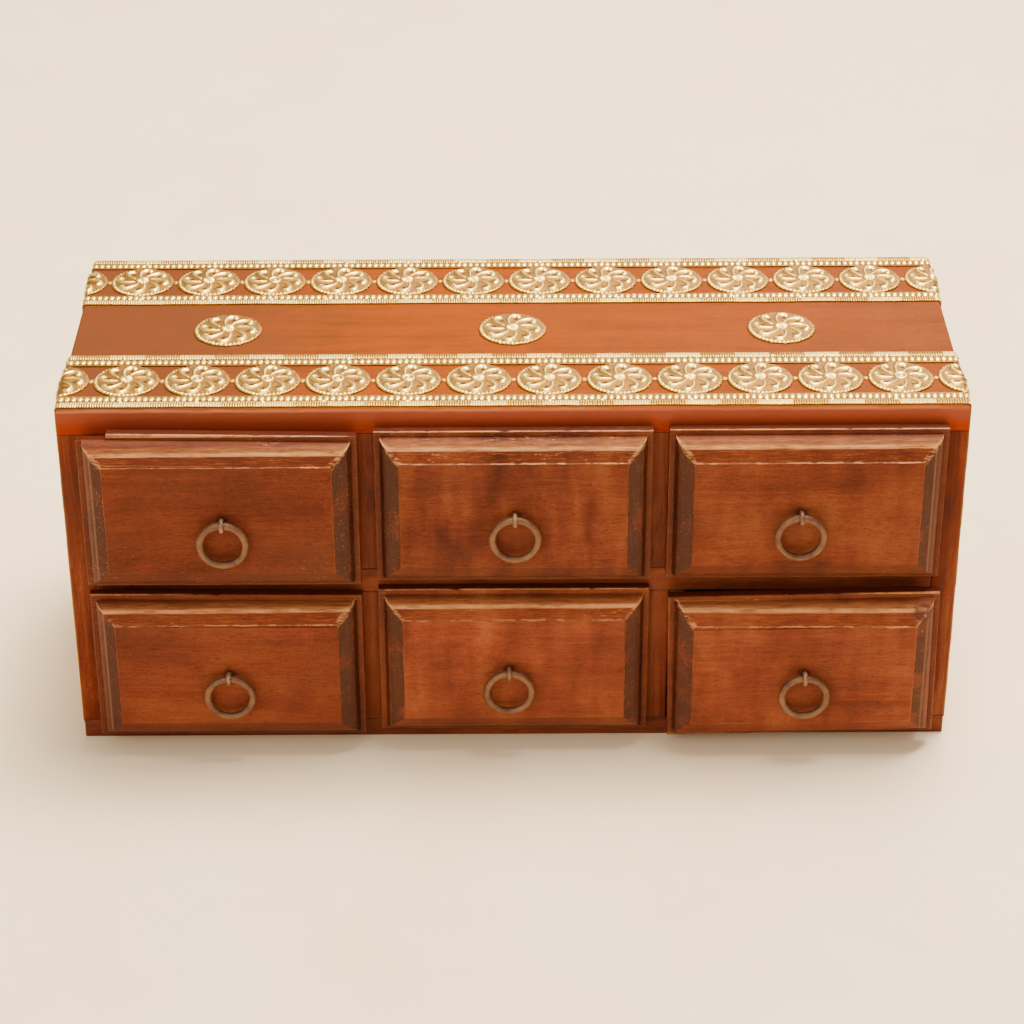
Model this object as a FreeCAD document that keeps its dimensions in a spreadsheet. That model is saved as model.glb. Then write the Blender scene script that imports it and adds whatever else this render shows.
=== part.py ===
import FreeCAD, Part
import math
import os
import re

import Sketcher

# A small wooden chest with six drawers in two rows of three. Two pierced brass bands run over its top and down
# both ends, three brass medallions lie between them, and each moulded drawer front carries a ring on a split pin.
# +X is to the right, -Y is the front, +Z is up. The origin is on the floor, under the middle of the case.

SIZES = {
    "case_width": (305, "case, left to right, without the brass"),
    "case_depth": (114, "case, front to back, without the drawer fronts"),
    "case_height": (132.5, "case, floor to top board, without the brass"),
    "top_thickness": (9.5, "top board"),
    "top_edge_radius": (1.2, "rounding along the upper edges of the top board"),
    "bottom_thickness": (7.2, "bottom board"),
    "side_thickness": (8.5, "end boards"),
    "back_thickness": (6, "back panel"),
    "divider_thickness": (8.5, "upright boards between the columns"),
    "shelf_thickness": (9.3, "shelf between the rows"),
    "drawer_side_gap": (0.5, "play between a drawer box and the boards beside it"),
    "drawer_floor_gap": (0.3, "play under a drawer box"),
    "drawer_head_gap": (1, "play over a drawer box"),
    "drawer_back_gap": (3, "space behind a closed drawer"),
    "drawer_side_thickness": (5, "sides of a drawer box"),
    "drawer_back_thickness": (5, "back of a drawer box"),
    "drawer_bottom_thickness": (3, "bottom of a drawer box"),
    "lip_overlap": (1.5, "how far a drawer front laps over the case at its ends and its foot"),
    "head_overlap": (3.3, "how far it laps over the case above its opening"),
    "lip_thickness": (3.5, "thickness of that lip"),
    "plug_depth": (5, "part of the front that goes between the drawer sides"),
    "lip_face": (2, "flat border of the front, outside the moulding"),
    "ovolo_width": (2.8, "round of the moulding, across"),
    "ovolo_rise": (4.4, "round of the moulding, forward"),
    "bevel_width": (3.6, "slope inside the round, across"),
    "bevel_rise": (1.4, "slope inside the round, forward"),
    "panel_step": (0.4, "small step up to the flat panel"),
    "upper_left_out": (4, "how far this drawer stands open at rest"),
    "upper_middle_out": (1.3, "how far this drawer stands open at rest"),
    "upper_right_out": (0.8, "how far this drawer stands open at rest"),
    "lower_left_out": (2.8, "how far this drawer stands open at rest"),
    "lower_middle_out": (0.5, "how far this drawer stands open at rest"),
    "lower_right_out": (4.4, "how far this drawer stands open at rest"),
    "upper_left_pull_shift": (1.1, "ring of this drawer off the middle of its front, to the right"),
    "upper_middle_pull_shift": (0.5, "ring of this drawer off the middle of its front, to the right"),
    "upper_right_pull_shift": (-2.2, "ring of this drawer off the middle of its front, to the right"),
    "lower_left_pull_shift": (0.3, "ring of this drawer off the middle of its front, to the right"),
    "lower_middle_pull_shift": (-1.7, "ring of this drawer off the middle of its front, to the right"),
    "lower_right_pull_shift": (1.6, "ring of this drawer off the middle of its front, to the right"),
    "ring_mean_radius": (7.7, "pull ring, to the middle of its wire"),
    "ring_wire_radius": (1.25, "wire of the pull ring"),
    "eye_clearance": (0.3, "play of the ring's wire in the pin's eye"),
    "eye_face_gap": (0.4, "space between the eye and the drawer panel"),
    "pin_strip": (1, "thickness of the strip that the split pin is bent from"),
    "pin_width": (1.5, "width of that strip"),
    "pin_slit": (0.3, "slit between the two legs of the pin"),
    "pin_tail": (5, "reach of each bent leg behind the front"),
    "pin_hole_clearance": (0.1, "play of the pin in its hole"),
    "front_band_width": (37.2, "front brass band, across"),
    "rear_band_width": (35.6, "rear brass band, across"),
    "band_thickness": (0.6, "brass sheet with its embossing"),
    "border_width": (3, "raised border along each edge of a band"),
    "border_height": (0.3, "height of that border over the sheet"),
    "band_edge_margin": (1.2, "wood left between a band and the edge of the top"),
    "band_foot_height": (6, "floor to the lower ends of a band"),
    "rosette_pitch": (23.85, "from one rosette of a band to the next"),
    "rosette_radius": (11.2, "rosette of a band, with its border"),
    "gap_width": (21.6, "openings of a band between its two rails"),
    "link_height": (1.8, "bead that joins two rosettes"),
    "hub_radius": (2.5, "boss in the middle of a rosette"),
    "hub_height": (0.7, "height of that boss"),
    "hub_taper": (30, "slope of the boss's side, in degrees from upright"),
    "front_band_shift": (0.3, "pattern of the front band off centre, to the right"),
    "rear_band_shift": (-2, "pattern of the rear band off centre, to the right"),
    "medallion_radius": (11.85, "medallion on the top board"),
    "medallion_rim": (1.2, "width of its sloping rim"),
    "medallion_edge": (0.4, "thickness of the medallion at its edge"),
    "left_medallion_inset": (53.1, "middle of the left medallion, from the left end of the case"),
    "right_medallion_inset": (58.4, "middle of the right medallion, from the right end of the case"),
}


def of_sheet(text):
    """Put the sheet's name before each of its aliases in an expression."""
    return re.sub("[a-z_]+", lambda word: "Sizes." + word[0] if word[0] in SIZES else word[0], text)


# Lengths that several pieces share.
OPENING_WIDTH = "((case_width - 2 * side_thickness - 2 * divider_thickness) / 3)"
OPENING_HEIGHT = "((case_height - top_thickness - bottom_thickness - shelf_thickness) / 2)"
COLUMN_PITCH = f"({OPENING_WIDTH} + divider_thickness)"
UPPER_FLOOR = f"(bottom_thickness + {OPENING_HEIGHT} + shelf_thickness)"
INNER_DEPTH = "(case_depth - back_thickness)"
INNER_HEIGHT = "(case_height - top_thickness - bottom_thickness)"

BOX_WIDTH = f"({OPENING_WIDTH} - 2 * drawer_side_gap)"
BOX_LENGTH = f"({INNER_DEPTH} - drawer_back_gap)"
WALL_HEIGHT = f"({OPENING_HEIGHT} - drawer_floor_gap - drawer_head_gap - drawer_bottom_thickness)"
WALL_FOOT = "(drawer_floor_gap + drawer_bottom_thickness)"
BETWEEN_WALLS = f"({BOX_WIDTH} - 2 * drawer_side_thickness)"

FRONT_WIDTH = f"({OPENING_WIDTH} + 2 * lip_overlap)"
FRONT_HEIGHT = f"({OPENING_HEIGHT} + lip_overlap + head_overlap)"
PULL_HEIGHT = f"({FRONT_HEIGHT} / 2 - lip_overlap)"
MOULDING_WIDTH = "(lip_face + ovolo_width + bevel_width)"
MOULDING_RISE = "(ovolo_rise + bevel_rise + panel_step)"
PANEL_FACE = f"(lip_thickness + {MOULDING_RISE})"

EYE_INNER = "(ring_wire_radius + eye_clearance)"
EYE_OUTER = f"({EYE_INNER} + pin_strip)"
EYE_REACH = f"({PANEL_FACE} + eye_face_gap + {EYE_OUTER})"
LEG_OUTER = "(pin_slit / 2 + pin_strip)"

RAIL_INNER = "(gap_width / 2)"
GAP_HALF_LENGTH = f"(rosette_pitch / 2 - sqrt(rosette_radius ^ 2 - {RAIL_INNER} ^ 2))"
PITCHES_TO_END = f"floor((case_width / 2 - {GAP_HALF_LENGTH}) / rosette_pitch)"
PITCHES_PAST_END = f"ceil((case_width / 2 + top_edge_radius + {GAP_HALF_LENGTH}) / rosette_pitch)"
FIRST_SIDE_GAP = f"(case_height + case_width / 2 - {PITCHES_PAST_END} * rosette_pitch)"
FIRST_SIDE_HUB = f"({FIRST_SIDE_GAP} - rosette_pitch / 2)"
SIDE_GAP_COUNT = f"(floor(({FIRST_SIDE_GAP} - band_foot_height - {GAP_HALF_LENGTH}) / rosette_pitch) + 1)"
SIDE_HUB_COUNT = f"(floor(({FIRST_SIDE_HUB} - band_foot_height - hub_radius) / rosette_pitch) + 1)"
BEYOND = 10  # how far a cutter reaches past the stock it cuts

# The small round brass work is made of flats, which keeps the model light.
ROSETTE_CHORDS = 4  # along each stretch of a rosette's rim that faces an opening
HUB_SIDES = 8
MEDALLION_SIDES = 28
RING_SIDES = 28
WIRE_SIDES = 8


def make_sheet(doc):
    """Write every driving dimension into one spreadsheet, one alias to a row."""
    sheet = doc.addObject("Spreadsheet::Sheet", "Sizes")
    for row, (name, (value, note)) in enumerate(SIZES.items(), start=1):
        sheet.set(f"A{row}", note)
        sheet.set(f"B{row}", str(value))
        sheet.setAlias(f"B{row}", name)
    doc.recompute()
    return sheet


def bind(thing, **expressions):
    """Bind properties to expressions; a double underscore in a name stands for a dot."""
    for name, text in expressions.items():
        thing.setExpression(name.replace("__", "."), of_sheet(text))


def board(doc, label, size, corner):
    """A squared board: its three sizes and its lowest corner are expressions."""
    box = doc.addObject("Part::Box", label)
    bind(box, Length=size[0], Width=size[1], Height=size[2])
    bind(box, Placement__Base__x=corner[0], Placement__Base__y=corner[1], Placement__Base__z=corner[2])
    return box


def new_body(doc, label, place=("0 * case_width", "0 * case_width", "0 * case_width")):
    """An empty body at a place given by three expressions."""
    body = doc.addObject("PartDesign::Body", label)
    bind(body, Placement__Base__x=place[0], Placement__Base__y=place[1], Placement__Base__z=place[2])
    return body


def new_sketch(body, name, plane, offset=("", "", ""), turn=0):
    """A sketch on one of the body's origin planes, moved by expressions and turned in its plane."""
    sketch = body.newObject("Sketcher::SketchObject", name)
    features = body.Origin.OriginFeatures
    sketch.AttachmentSupport = [(next(f for f in features if f.Role == plane), "")]
    sketch.MapMode = "FlatFace"
    turned = FreeCAD.Rotation(FreeCAD.Vector(0, 0, 1), turn)
    sketch.AttachmentOffset = FreeCAD.Placement(FreeCAD.Vector(), turned)
    for axis, text in zip("xyz", offset):
        if text:
            sketch.setExpression(f"AttachmentOffset.Base.{axis}", of_sheet(text))
    return sketch


def number(thing, text):
    """The value of an expression, in millimetres."""
    return float(thing.evalExpression(of_sheet(text)))


def held(sketch, kind, element, point, text):
    """The constraint that keeps one coordinate of a point at an expression, and that expression."""
    value = number(sketch, text)
    if abs(value) < 1e-9:
        axis = -2 if kind == "DistanceX" else -1
        return Sketcher.Constraint("PointOnObject", element, point, axis), ""
    return Sketcher.Constraint(kind, -1, 1, element, point, value), text


def constrain(sketch, pairs):
    """Add constraints all at once, and bind each one to its expression."""
    first = sketch.ConstraintCount
    sketch.addConstraint([constraint for constraint, _ in pairs])
    for index, (_, text) in enumerate(pairs, start=first):
        if text:
            sketch.setExpression(f"Constraints[{index}]", of_sheet(text))


def arc_through(start, end, centre_axis, centre_value, long_way):
    """A circular arc between two points whose centre has one known coordinate."""
    middle = (start + end) / 2
    chord = end - start
    if centre_axis == "x":
        along = (centre_value - middle.x) / -chord.y
    else:
        along = (centre_value - middle.y) / chord.x
    centre = middle + FreeCAD.Vector(-chord.y, chord.x, 0) * along
    radius = (start - centre).Length
    first = math.atan2(start.y - centre.y, start.x - centre.x)
    last = math.atan2(end.y - centre.y, end.x - centre.x)
    forward = ((last - first) % (2 * math.pi) > math.pi) == long_way
    circle = Part.Circle(centre, FreeCAD.Vector(0, 0, 1), radius)
    if forward:
        return Part.ArcOfCircle(circle, first, last), 1, 2
    return Part.ArcOfCircle(circle, last, first), 2, 1


def outline(sketch, corners, arcs=None):
    """Draw a closed outline whose corners are pairs of expressions.

    arcs maps the number of a side to (axis, expression, long way round): that side is an arc, and one coordinate
    of its centre is held at the expression.
    """
    arcs = arcs or {}
    points = [FreeCAD.Vector(number(sketch, x), number(sketch, y), 0) for x, y in corners]
    curves, ends = [], []
    first_element = sketch.GeometryCount
    for side, start in enumerate(points):
        end = points[(side + 1) % len(points)]
        if side in arcs:
            axis, text, long_way = arcs[side]
            curve, first, last = arc_through(start, end, axis, number(sketch, text), long_way)
        else:
            curve, first, last = Part.LineSegment(start, end), 1, 2
        curves.append(curve)
        ends.append((first_element + side, first, last))
    sketch.addGeometry(curves, False)
    pairs = []
    for side, (element, first, _) in enumerate(ends):
        before, _, last_before = ends[side - 1]
        pairs.append((Sketcher.Constraint("Coincident", before, last_before, element, first), ""))
        pairs.append(held(sketch, "DistanceX", element, first, corners[side][0]))
        pairs.append(held(sketch, "DistanceY", element, first, corners[side][1]))
        if side in arcs:
            axis, text, _ = arcs[side]
            pairs.append(held(sketch, "Distance" + axis.upper(), element, 3, text))
    constrain(sketch, pairs)


def rectangle(sketch, width, height, foot):
    """A rectangle centred across the sketch, standing at the height foot."""
    right, top = f"{width} / 2", f"{foot} + {height}"
    outline(sketch, [(f"-{right}", foot), (right, foot), (right, top), (f"-{right}", top)])


def disc(sketch, radius):
    """A circle about the sketch's origin."""
    size = number(sketch, radius)
    element = sketch.addGeometry(Part.Circle(FreeCAD.Vector(), FreeCAD.Vector(0, 0, 1), size), False)
    centred = Sketcher.Constraint("Coincident", element, 3, -1, 1)
    constrain(sketch, [(centred, ""), (Sketcher.Constraint("Radius", element, size), radius)])


def polygon(sketch, radius, sides, middle="0 * case_width", turn=0.5):
    """A regular polygon with its centre on the sketch's horizontal axis, turned by a share of one side."""
    corners = []
    for side in range(sides):
        angle = f"({360 * (side + turn) / sides} deg)"
        corners.append((f"{middle} + {radius} * cos{angle}", f"{radius} * sin{angle}"))
    outline(sketch, corners)


def pad(body, sketch, length, **settings):
    """Raise a sketch into the body."""
    feature = body.newObject("PartDesign::Pad", sketch.Name + "_pad")
    feature.Profile = sketch
    bind(feature, Length=length)
    for name, value in settings.items():
        setattr(feature, name, value)
    return feature


def pocket(body, sketch, length="", **settings):
    """Cut a sketch into the body, right through it where no length is given."""
    feature = body.newObject("PartDesign::Pocket", sketch.Name + "_pocket")
    feature.Profile = sketch
    if length:
        bind(feature, Length=length)
    else:
        feature.Type = "ThroughAll"
    for name, value in settings.items():
        setattr(feature, name, value)
    return feature


def row_of(body, feature, sketch, pitch, count, backwards=False):
    """Repeat a feature along its sketch's horizontal axis."""
    pattern = body.newObject("PartDesign::LinearPattern", feature.Name + "_row")
    pattern.Originals = [feature]
    pattern.Direction = (sketch, ["H_Axis"])
    pattern.Reversed = backwards
    bind(pattern, Length=f"{pitch} * ({count} - 1)", Occurrences=count)
    body.Tip = pattern
    return pattern


# ---- the case ----


def make_top_board(doc):
    """The top board, as wide and deep as the case, with its upper edges rounded."""
    body = new_body(doc, "top_board")
    plan = new_sketch(body, "top_plan", "XY_Plane", offset=("", "", "case_height - top_thickness"))
    rectangle(plan, "case_width", "case_depth", "-case_depth / 2")
    slab = pad(body, plan, "top_thickness")
    doc.recompute()
    top = number(plan, "case_height")
    upper = [f"Edge{i}" for i, e in enumerate(slab.Shape.Edges, 1) if abs(e.BoundBox.ZMin - top) < 1e-6]
    rounding = body.newObject("PartDesign::Fillet", "top_rounding")
    rounding.Base = (slab, upper)
    bind(rounding, Radius="top_edge_radius")


def make_case(doc):
    """The boards of the case: two ends, bottom, back, shelf and four dividers."""
    make_top_board(doc)
    front = "-case_depth / 2"
    between = "(case_width - 2 * side_thickness)"
    board(doc, "bottom_board", ("case_width", "case_depth", "bottom_thickness"),
          ("-case_width / 2", front, "0 * case_width"))
    side = ("side_thickness", "case_depth", INNER_HEIGHT)
    board(doc, "left_side", side, ("-case_width / 2", front, "bottom_thickness"))
    board(doc, "right_side", side, ("case_width / 2 - side_thickness", front, "bottom_thickness"))
    board(doc, "back_panel", (between, "back_thickness", INNER_HEIGHT),
          (f"-{between} / 2", "case_depth / 2 - back_thickness", "bottom_thickness"))
    board(doc, "shelf", (between, INNER_DEPTH, "shelf_thickness"),
          (f"-{between} / 2", front, f"bottom_thickness + {OPENING_HEIGHT}"))
    divider = ("divider_thickness", INNER_DEPTH, OPENING_HEIGHT)
    for row, floor in (("lower", "bottom_thickness"), ("upper", UPPER_FLOOR)):
        for side_name, sign in (("left", "-1"), ("right", "1")):
            centre = f"{sign} * {COLUMN_PITCH} / 2"
            board(doc, f"{row}_{side_name}_divider", divider, (f"{centre} - divider_thickness / 2", front, floor))


# ---- the brass ----


def gap_outline(sketch):
    """The two openings between neighbouring rosettes, one on each side of the bead that links them."""
    first = "asin(link_height / 2 / rosette_radius)"
    last = f"asin({RAIL_INNER} / rosette_radius)"
    rim = []
    for chord in range(ROSETTE_CHORDS + 1):
        angle = f"({first} + ({last} - {first}) * {chord / ROSETTE_CHORDS})"
        rim.append((f"(rosette_pitch / 2 - rosette_radius * cos{angle})", f"rosette_radius * sin{angle}"))
    opposite = [(f"-{x}", y) for x, y in reversed(rim)]
    outline(sketch, rim + opposite)
    outline(sketch, [(x, f"-{y}") for x, y in rim + opposite])


def folded_strip(body, name, from_edge, thickness, width):
    """A strip folded over the top and down both ends, from_edge behind the band's front edge."""
    edge = f"(case_depth / 2 - band_edge_margin - {from_edge})"
    strip = new_sketch(body, name, "XZ_Plane", offset=("", "", edge))
    inside, outside = "case_width / 2", f"(case_width / 2 + {thickness})"
    under, over = "case_height", f"(case_height + {thickness})"
    turn = "(case_width / 2 - top_edge_radius)"
    fold = "(case_height - top_edge_radius)"
    foot = "band_foot_height"
    right = [(inside, foot), (outside, foot), (outside, fold), (turn, over)]
    left = [(f"-{x}", z) for x, z in reversed(right)]
    inner = [(f"-{inside}", fold), (f"-{turn}", under), (turn, under), (inside, fold)]
    outline(strip, right + left + inner, {side: ("y", fold, False) for side in (2, 4, 8, 10)})
    pad(body, strip, width, Reversed=True)


def make_band(doc, label, width, place_y, shift):
    """A pierced band, folded over the top and down both ends of the case.

    place_y moves it back from the front edge, and shift moves its pattern along the top.
    """
    none = "0 * case_width"
    body = new_body(doc, label, (none, place_y, none))
    folded_strip(body, label + "_strip", none, "band_thickness", width)
    raised = "(band_thickness + border_height)"
    folded_strip(body, label + "_front_border", none, raised, "border_width")
    folded_strip(body, label + "_rear_border", f"({width} - border_width)", raised, "border_width")

    outside = "(case_width / 2 + band_thickness)"
    over = "(case_height + band_thickness)"
    middle = f"(band_edge_margin + {width} / 2 - case_depth / 2)"
    top_gaps = f"(2 * {PITCHES_TO_END} + 1)"
    hub = new_sketch(body, label + "_top_hub", "XY_Plane",
                     offset=(f"{shift} - ({PITCHES_TO_END} - 0.5) * rosette_pitch", middle, over))
    polygon(hub, "hub_radius", HUB_SIDES)
    boss = pad(body, hub, "hub_height")
    bind(boss, TaperAngle="-hub_taper")
    row_of(body, boss, hub, "rosette_pitch", f"(2 * {PITCHES_TO_END})")

    side_hub = new_sketch(body, label + "_side_hub", "YZ_Plane",
                          offset=(middle, FIRST_SIDE_HUB, outside), turn=90)
    polygon(side_hub, "hub_radius", HUB_SIDES)
    side_boss = pad(body, side_hub, "hub_height")
    bind(side_boss, TaperAngle="-hub_taper")
    both = body.newObject("PartDesign::MultiTransform", label + "_side_hubs")
    down = body.newObject("PartDesign::LinearPattern", label + "_hubs_down")
    down.Direction = (side_hub, ["H_Axis"])
    down.Reversed = True
    bind(down, Length=f"rosette_pitch * ({SIDE_HUB_COUNT} - 1)", Occurrences=SIDE_HUB_COUNT)
    across = body.newObject("PartDesign::Mirrored", label + "_hubs_across")
    across.MirrorPlane = (next(f for f in body.Origin.OriginFeatures if f.Role == "YZ_Plane"), [""])
    both.Originals = [side_boss]
    both.Transformations = [down, across]
    body.Tip = both

    gap = new_sketch(body, label + "_top_gap", "XY_Plane",
                     offset=(f"{shift} - {PITCHES_TO_END} * rosette_pitch", middle, over))
    gap_outline(gap)
    cut = pocket(body, gap, "top_edge_radius + 2 * band_thickness")
    row_of(body, cut, gap, "rosette_pitch", top_gaps)

    side_gap = new_sketch(body, label + "_side_gap", "YZ_Plane", offset=(middle, FIRST_SIDE_GAP, outside), turn=90)
    gap_outline(side_gap)
    side_cut = pocket(body, side_gap)
    row_of(body, side_cut, side_gap, "rosette_pitch", SIDE_GAP_COUNT, backwards=True)


def make_medallion(doc, label, place_x):
    """A medallion on the top board: a thin edge, a sloping rim, and a boss in the middle."""
    body = new_body(doc, label, (place_x, "0 * case_width", "case_height"))
    edge = new_sketch(body, label + "_edge", "XY_Plane")
    polygon(edge, "medallion_radius", MEDALLION_SIDES)
    pad(body, edge, "medallion_edge")
    rim_foot = new_sketch(body, label + "_rim_foot", "XY_Plane", offset=("", "", "medallion_edge"))
    polygon(rim_foot, "medallion_radius", MEDALLION_SIDES)
    rim_top = new_sketch(body, label + "_rim_top", "XY_Plane", offset=("", "", "band_thickness"))
    polygon(rim_top, "(medallion_radius - medallion_rim)", MEDALLION_SIDES)
    rim = body.newObject("PartDesign::AdditiveLoft", label + "_rim")
    rim.Profile = rim_foot
    rim.Sections = [rim_top]
    rim.Ruled = True
    hub = new_sketch(body, label + "_hub", "XY_Plane", offset=("", "", "band_thickness"))
    polygon(hub, "hub_radius", HUB_SIDES)
    boss = pad(body, hub, "hub_height")
    bind(boss, TaperAngle="-hub_taper")


def make_brass(doc):
    """The two bands and the three medallions."""
    make_band(doc, "front_brass_band", "front_band_width", "0 * case_width", "front_band_shift")
    to_rear = "case_depth - 2 * band_edge_margin - rear_band_width"
    make_band(doc, "rear_brass_band", "rear_band_width", to_rear, "rear_band_shift")
    make_medallion(doc, "left_medallion", "left_medallion_inset - case_width / 2")
    make_medallion(doc, "middle_medallion", "0 * case_width")
    make_medallion(doc, "right_medallion", "case_width / 2 - right_medallion_inset")


# ---- the drawers ----


def moulding_cut(body, sketch, reach, upright):
    """Cut the moulding along two opposite edges of a front, as a cutter run along them would.

    reach gives the two edges from the sketch's origin. upright is true where the section's depth runs across the
    sketch, and the cuts meet those of the other two edges in mitres.
    """
    lip = "lip_thickness"
    round_top = f"({lip} + ovolo_rise)"
    slope_top = f"({round_top} + bevel_rise)"
    clear = f"({PANEL_FACE} + {BEYOND})"
    for edge, inward in reach:
        section = [
            (f"{edge} - {inward} * {BEYOND}", lip),
            (f"{edge} + {inward} * lip_face", lip),
            (f"{edge} + {inward} * (lip_face + ovolo_width)", round_top),
            (f"{edge} + {inward} * {MOULDING_WIDTH}", slope_top),
            (f"{edge} + {inward} * {MOULDING_WIDTH}", clear),
            (f"{edge} - {inward} * {BEYOND}", clear),
        ]
        if upright:
            corners = [(f"-{forward}", along) for along, forward in section]
        else:
            corners = [(along, f"-{forward}") for along, forward in section]
        outline(sketch, corners, {1: ("x" if upright else "y", f"-{lip}", False)})
    return pocket(body, sketch, Midplane=True)


def make_front(doc, label, place, pull_shift):
    """A lipped drawer front with a mitred moulding round its raised panel and a hole for its split pin."""
    body = new_body(doc, label, place)
    blank = new_sketch(body, label + "_blank", "XZ_Plane")
    rectangle(blank, FRONT_WIDTH, FRONT_HEIGHT, "-lip_overlap")
    pad(body, blank, PANEL_FACE)
    plug = new_sketch(body, label + "_plug", "XZ_Plane")
    rectangle(plug, BETWEEN_WALLS, WALL_HEIGHT, WALL_FOOT)
    pad(body, plug, "plug_depth", Reversed=True)

    levels = new_sketch(body, label + "_levels", "YZ_Plane")
    moulding_cut(body, levels, [("-lip_overlap", "1"), (f"({FRONT_HEIGHT} - lip_overlap)", "-1")], True)
    stiles = new_sketch(body, label + "_stiles", "XY_Plane")
    moulding_cut(body, stiles, [(f"-{FRONT_WIDTH} / 2", "1"), (f"{FRONT_WIDTH} / 2", "-1")], False)

    hole = new_sketch(body, label + "_hole", "XZ_Plane", offset=(pull_shift, PULL_HEIGHT, ""))
    disc(hole, f"sqrt({LEG_OUTER} ^ 2 + (pin_width / 2) ^ 2) + pin_hole_clearance")
    pocket(body, hole, Midplane=True)


def make_box(doc, drawer, place):
    """The plain box behind a front: bottom, two sides and a back between them."""
    x, y, z = place

    def piece(name, size, corner):
        board(doc, f"{drawer}_{name}", size, (f"{x} + {corner[0]}", f"{y} + {corner[1]}", f"{z} + {corner[2]}"))

    left = f"(-{BOX_WIDTH} / 2)"
    piece("bottom", (BOX_WIDTH, BOX_LENGTH, "drawer_bottom_thickness"), (left, "0", "drawer_floor_gap"))
    wall = ("drawer_side_thickness", BOX_LENGTH, WALL_HEIGHT)
    piece("left_side", wall, (left, "0", WALL_FOOT))
    piece("right_side", wall, (f"({BOX_WIDTH} / 2 - drawer_side_thickness)", "0", WALL_FOOT))
    piece("back", (BETWEEN_WALLS, "drawer_back_thickness", WALL_HEIGHT),
          (f"(-{BETWEEN_WALLS} / 2)", f"({BOX_LENGTH} - drawer_back_thickness)", WALL_FOOT))


def make_pin(doc, label, place):
    """A split pin: one strip bent round the ring's wire, through the front and apart behind it."""
    body = new_body(doc, label, place)
    side_view = new_sketch(body, label + "_bend", "YZ_Plane")
    inner_face = f"({EYE_REACH} + plug_depth)"
    behind = f"({inner_face} + pin_strip)"
    slit = "pin_slit / 2"
    neck = f"sqrt({EYE_OUTER} ^ 2 - {LEG_OUTER} ^ 2)"
    throat = f"sqrt({EYE_INNER} ^ 2 - ({slit}) ^ 2)"
    upper = [
        (neck, LEG_OUTER), (inner_face, LEG_OUTER), (inner_face, "pin_tail"), (behind, "pin_tail"), (behind, slit),
        (throat, slit),
    ]
    lower = [(y, f"-{z}") for y, z in reversed(upper)]
    centre = ("x", "0 * case_width", True)
    outline(side_view, upper + lower, {len(upper) - 1: centre, 2 * len(upper) - 1: centre})
    pad(body, side_view, "pin_width", Midplane=True)


def make_ring(doc, label, place):
    """A ring of wire, hanging from its split pin.

    The wire runs along the sides of a polygon and is mitred at its corners. It starts in the middle of a side.
    """
    x, y, z = place
    body = new_body(doc, label, (x, y, f"{z} - ring_mean_radius"))
    path = new_sketch(body, label + "_path", "XZ_Plane")
    middle = f"ring_mean_radius * cos({180 / RING_SIDES} deg)"
    corners = [(middle, "0 * case_width")]
    for corner in range(RING_SIDES):
        angle = f"({360 * (corner + 0.5) / RING_SIDES} deg)"
        corners.append((f"ring_mean_radius * cos{angle}", f"ring_mean_radius * sin{angle}"))
    outline(path, corners)
    wire = new_sketch(body, label + "_wire", "XY_Plane")
    polygon(wire, "ring_wire_radius", WIRE_SIDES, middle)
    doc.recompute()
    bend = body.newObject("PartDesign::AdditivePipe", label + "_bend")
    bend.Profile = wire
    bend.Spine = (path, [f"Edge{number}" for number, _ in enumerate(path.Shape.Edges, start=1)])
    bend.Transition = "Right corner"


def make_drawer(doc, row, column, step):
    """One whole drawer, step columns from the middle one, standing open by its own small amount."""
    drawer = f"{row}_{column}_drawer"
    floor = UPPER_FLOOR if row == "upper" else "bottom_thickness"
    face = f"(-case_depth / 2 - {row}_{column}_out)"
    place = (f"{step} * {COLUMN_PITCH}", face, floor)
    pull_shift = f"{row}_{column}_pull_shift"
    eye = (f"{place[0]} + {pull_shift}", f"{face} - {EYE_REACH}", f"{floor} + {PULL_HEIGHT}")
    make_front(doc, drawer + "_front", place, pull_shift)
    make_box(doc, drawer, place)
    make_pin(doc, drawer + "_pin", eye)
    make_ring(doc, drawer + "_ring", eye)


def faults(doc, pieces):
    """Everything in the document that failed, and every piece without one sound solid."""
    found = [o.Name for o in doc.Objects if {"Invalid", "Error"} & set(o.State)]
    for piece in pieces:
        if piece.Shape.isNull() or not piece.Shape.isValid() or len(piece.Shape.Solids) != 1:
            found.append(piece.Label)
    return found


def main():
    """Build the chest and write one STEP file for each piece."""
    doc = FreeCAD.newDocument("drawer_chest")
    make_sheet(doc)
    make_case(doc)
    make_brass(doc)
    for row in ("upper", "lower"):
        for column, step in (("left", -1), ("middle", 0), ("right", 1)):
            make_drawer(doc, row, column, step)
    doc.recompute()

    kinds = ("PartDesign::Body", "Part::Box")
    pieces = [o for o in doc.Objects if o.TypeId in kinds]
    failed = faults(doc, pieces)
    if failed:
        raise RuntimeError("failed: " + ", ".join(failed))
    os.makedirs("parts", exist_ok=True)
    for piece in pieces:
        piece.Shape.exportStep(f"parts/{piece.Label}.step")
    print(len(pieces), "pieces")


main()
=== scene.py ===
import logging
import math
from dataclasses import dataclass, field
from enum import Enum
from functools import cached_property
from typing import Iterable, Optional, Sequence, Union

import bmesh
import bpy
from mathutils import Matrix, Vector, noise

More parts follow.
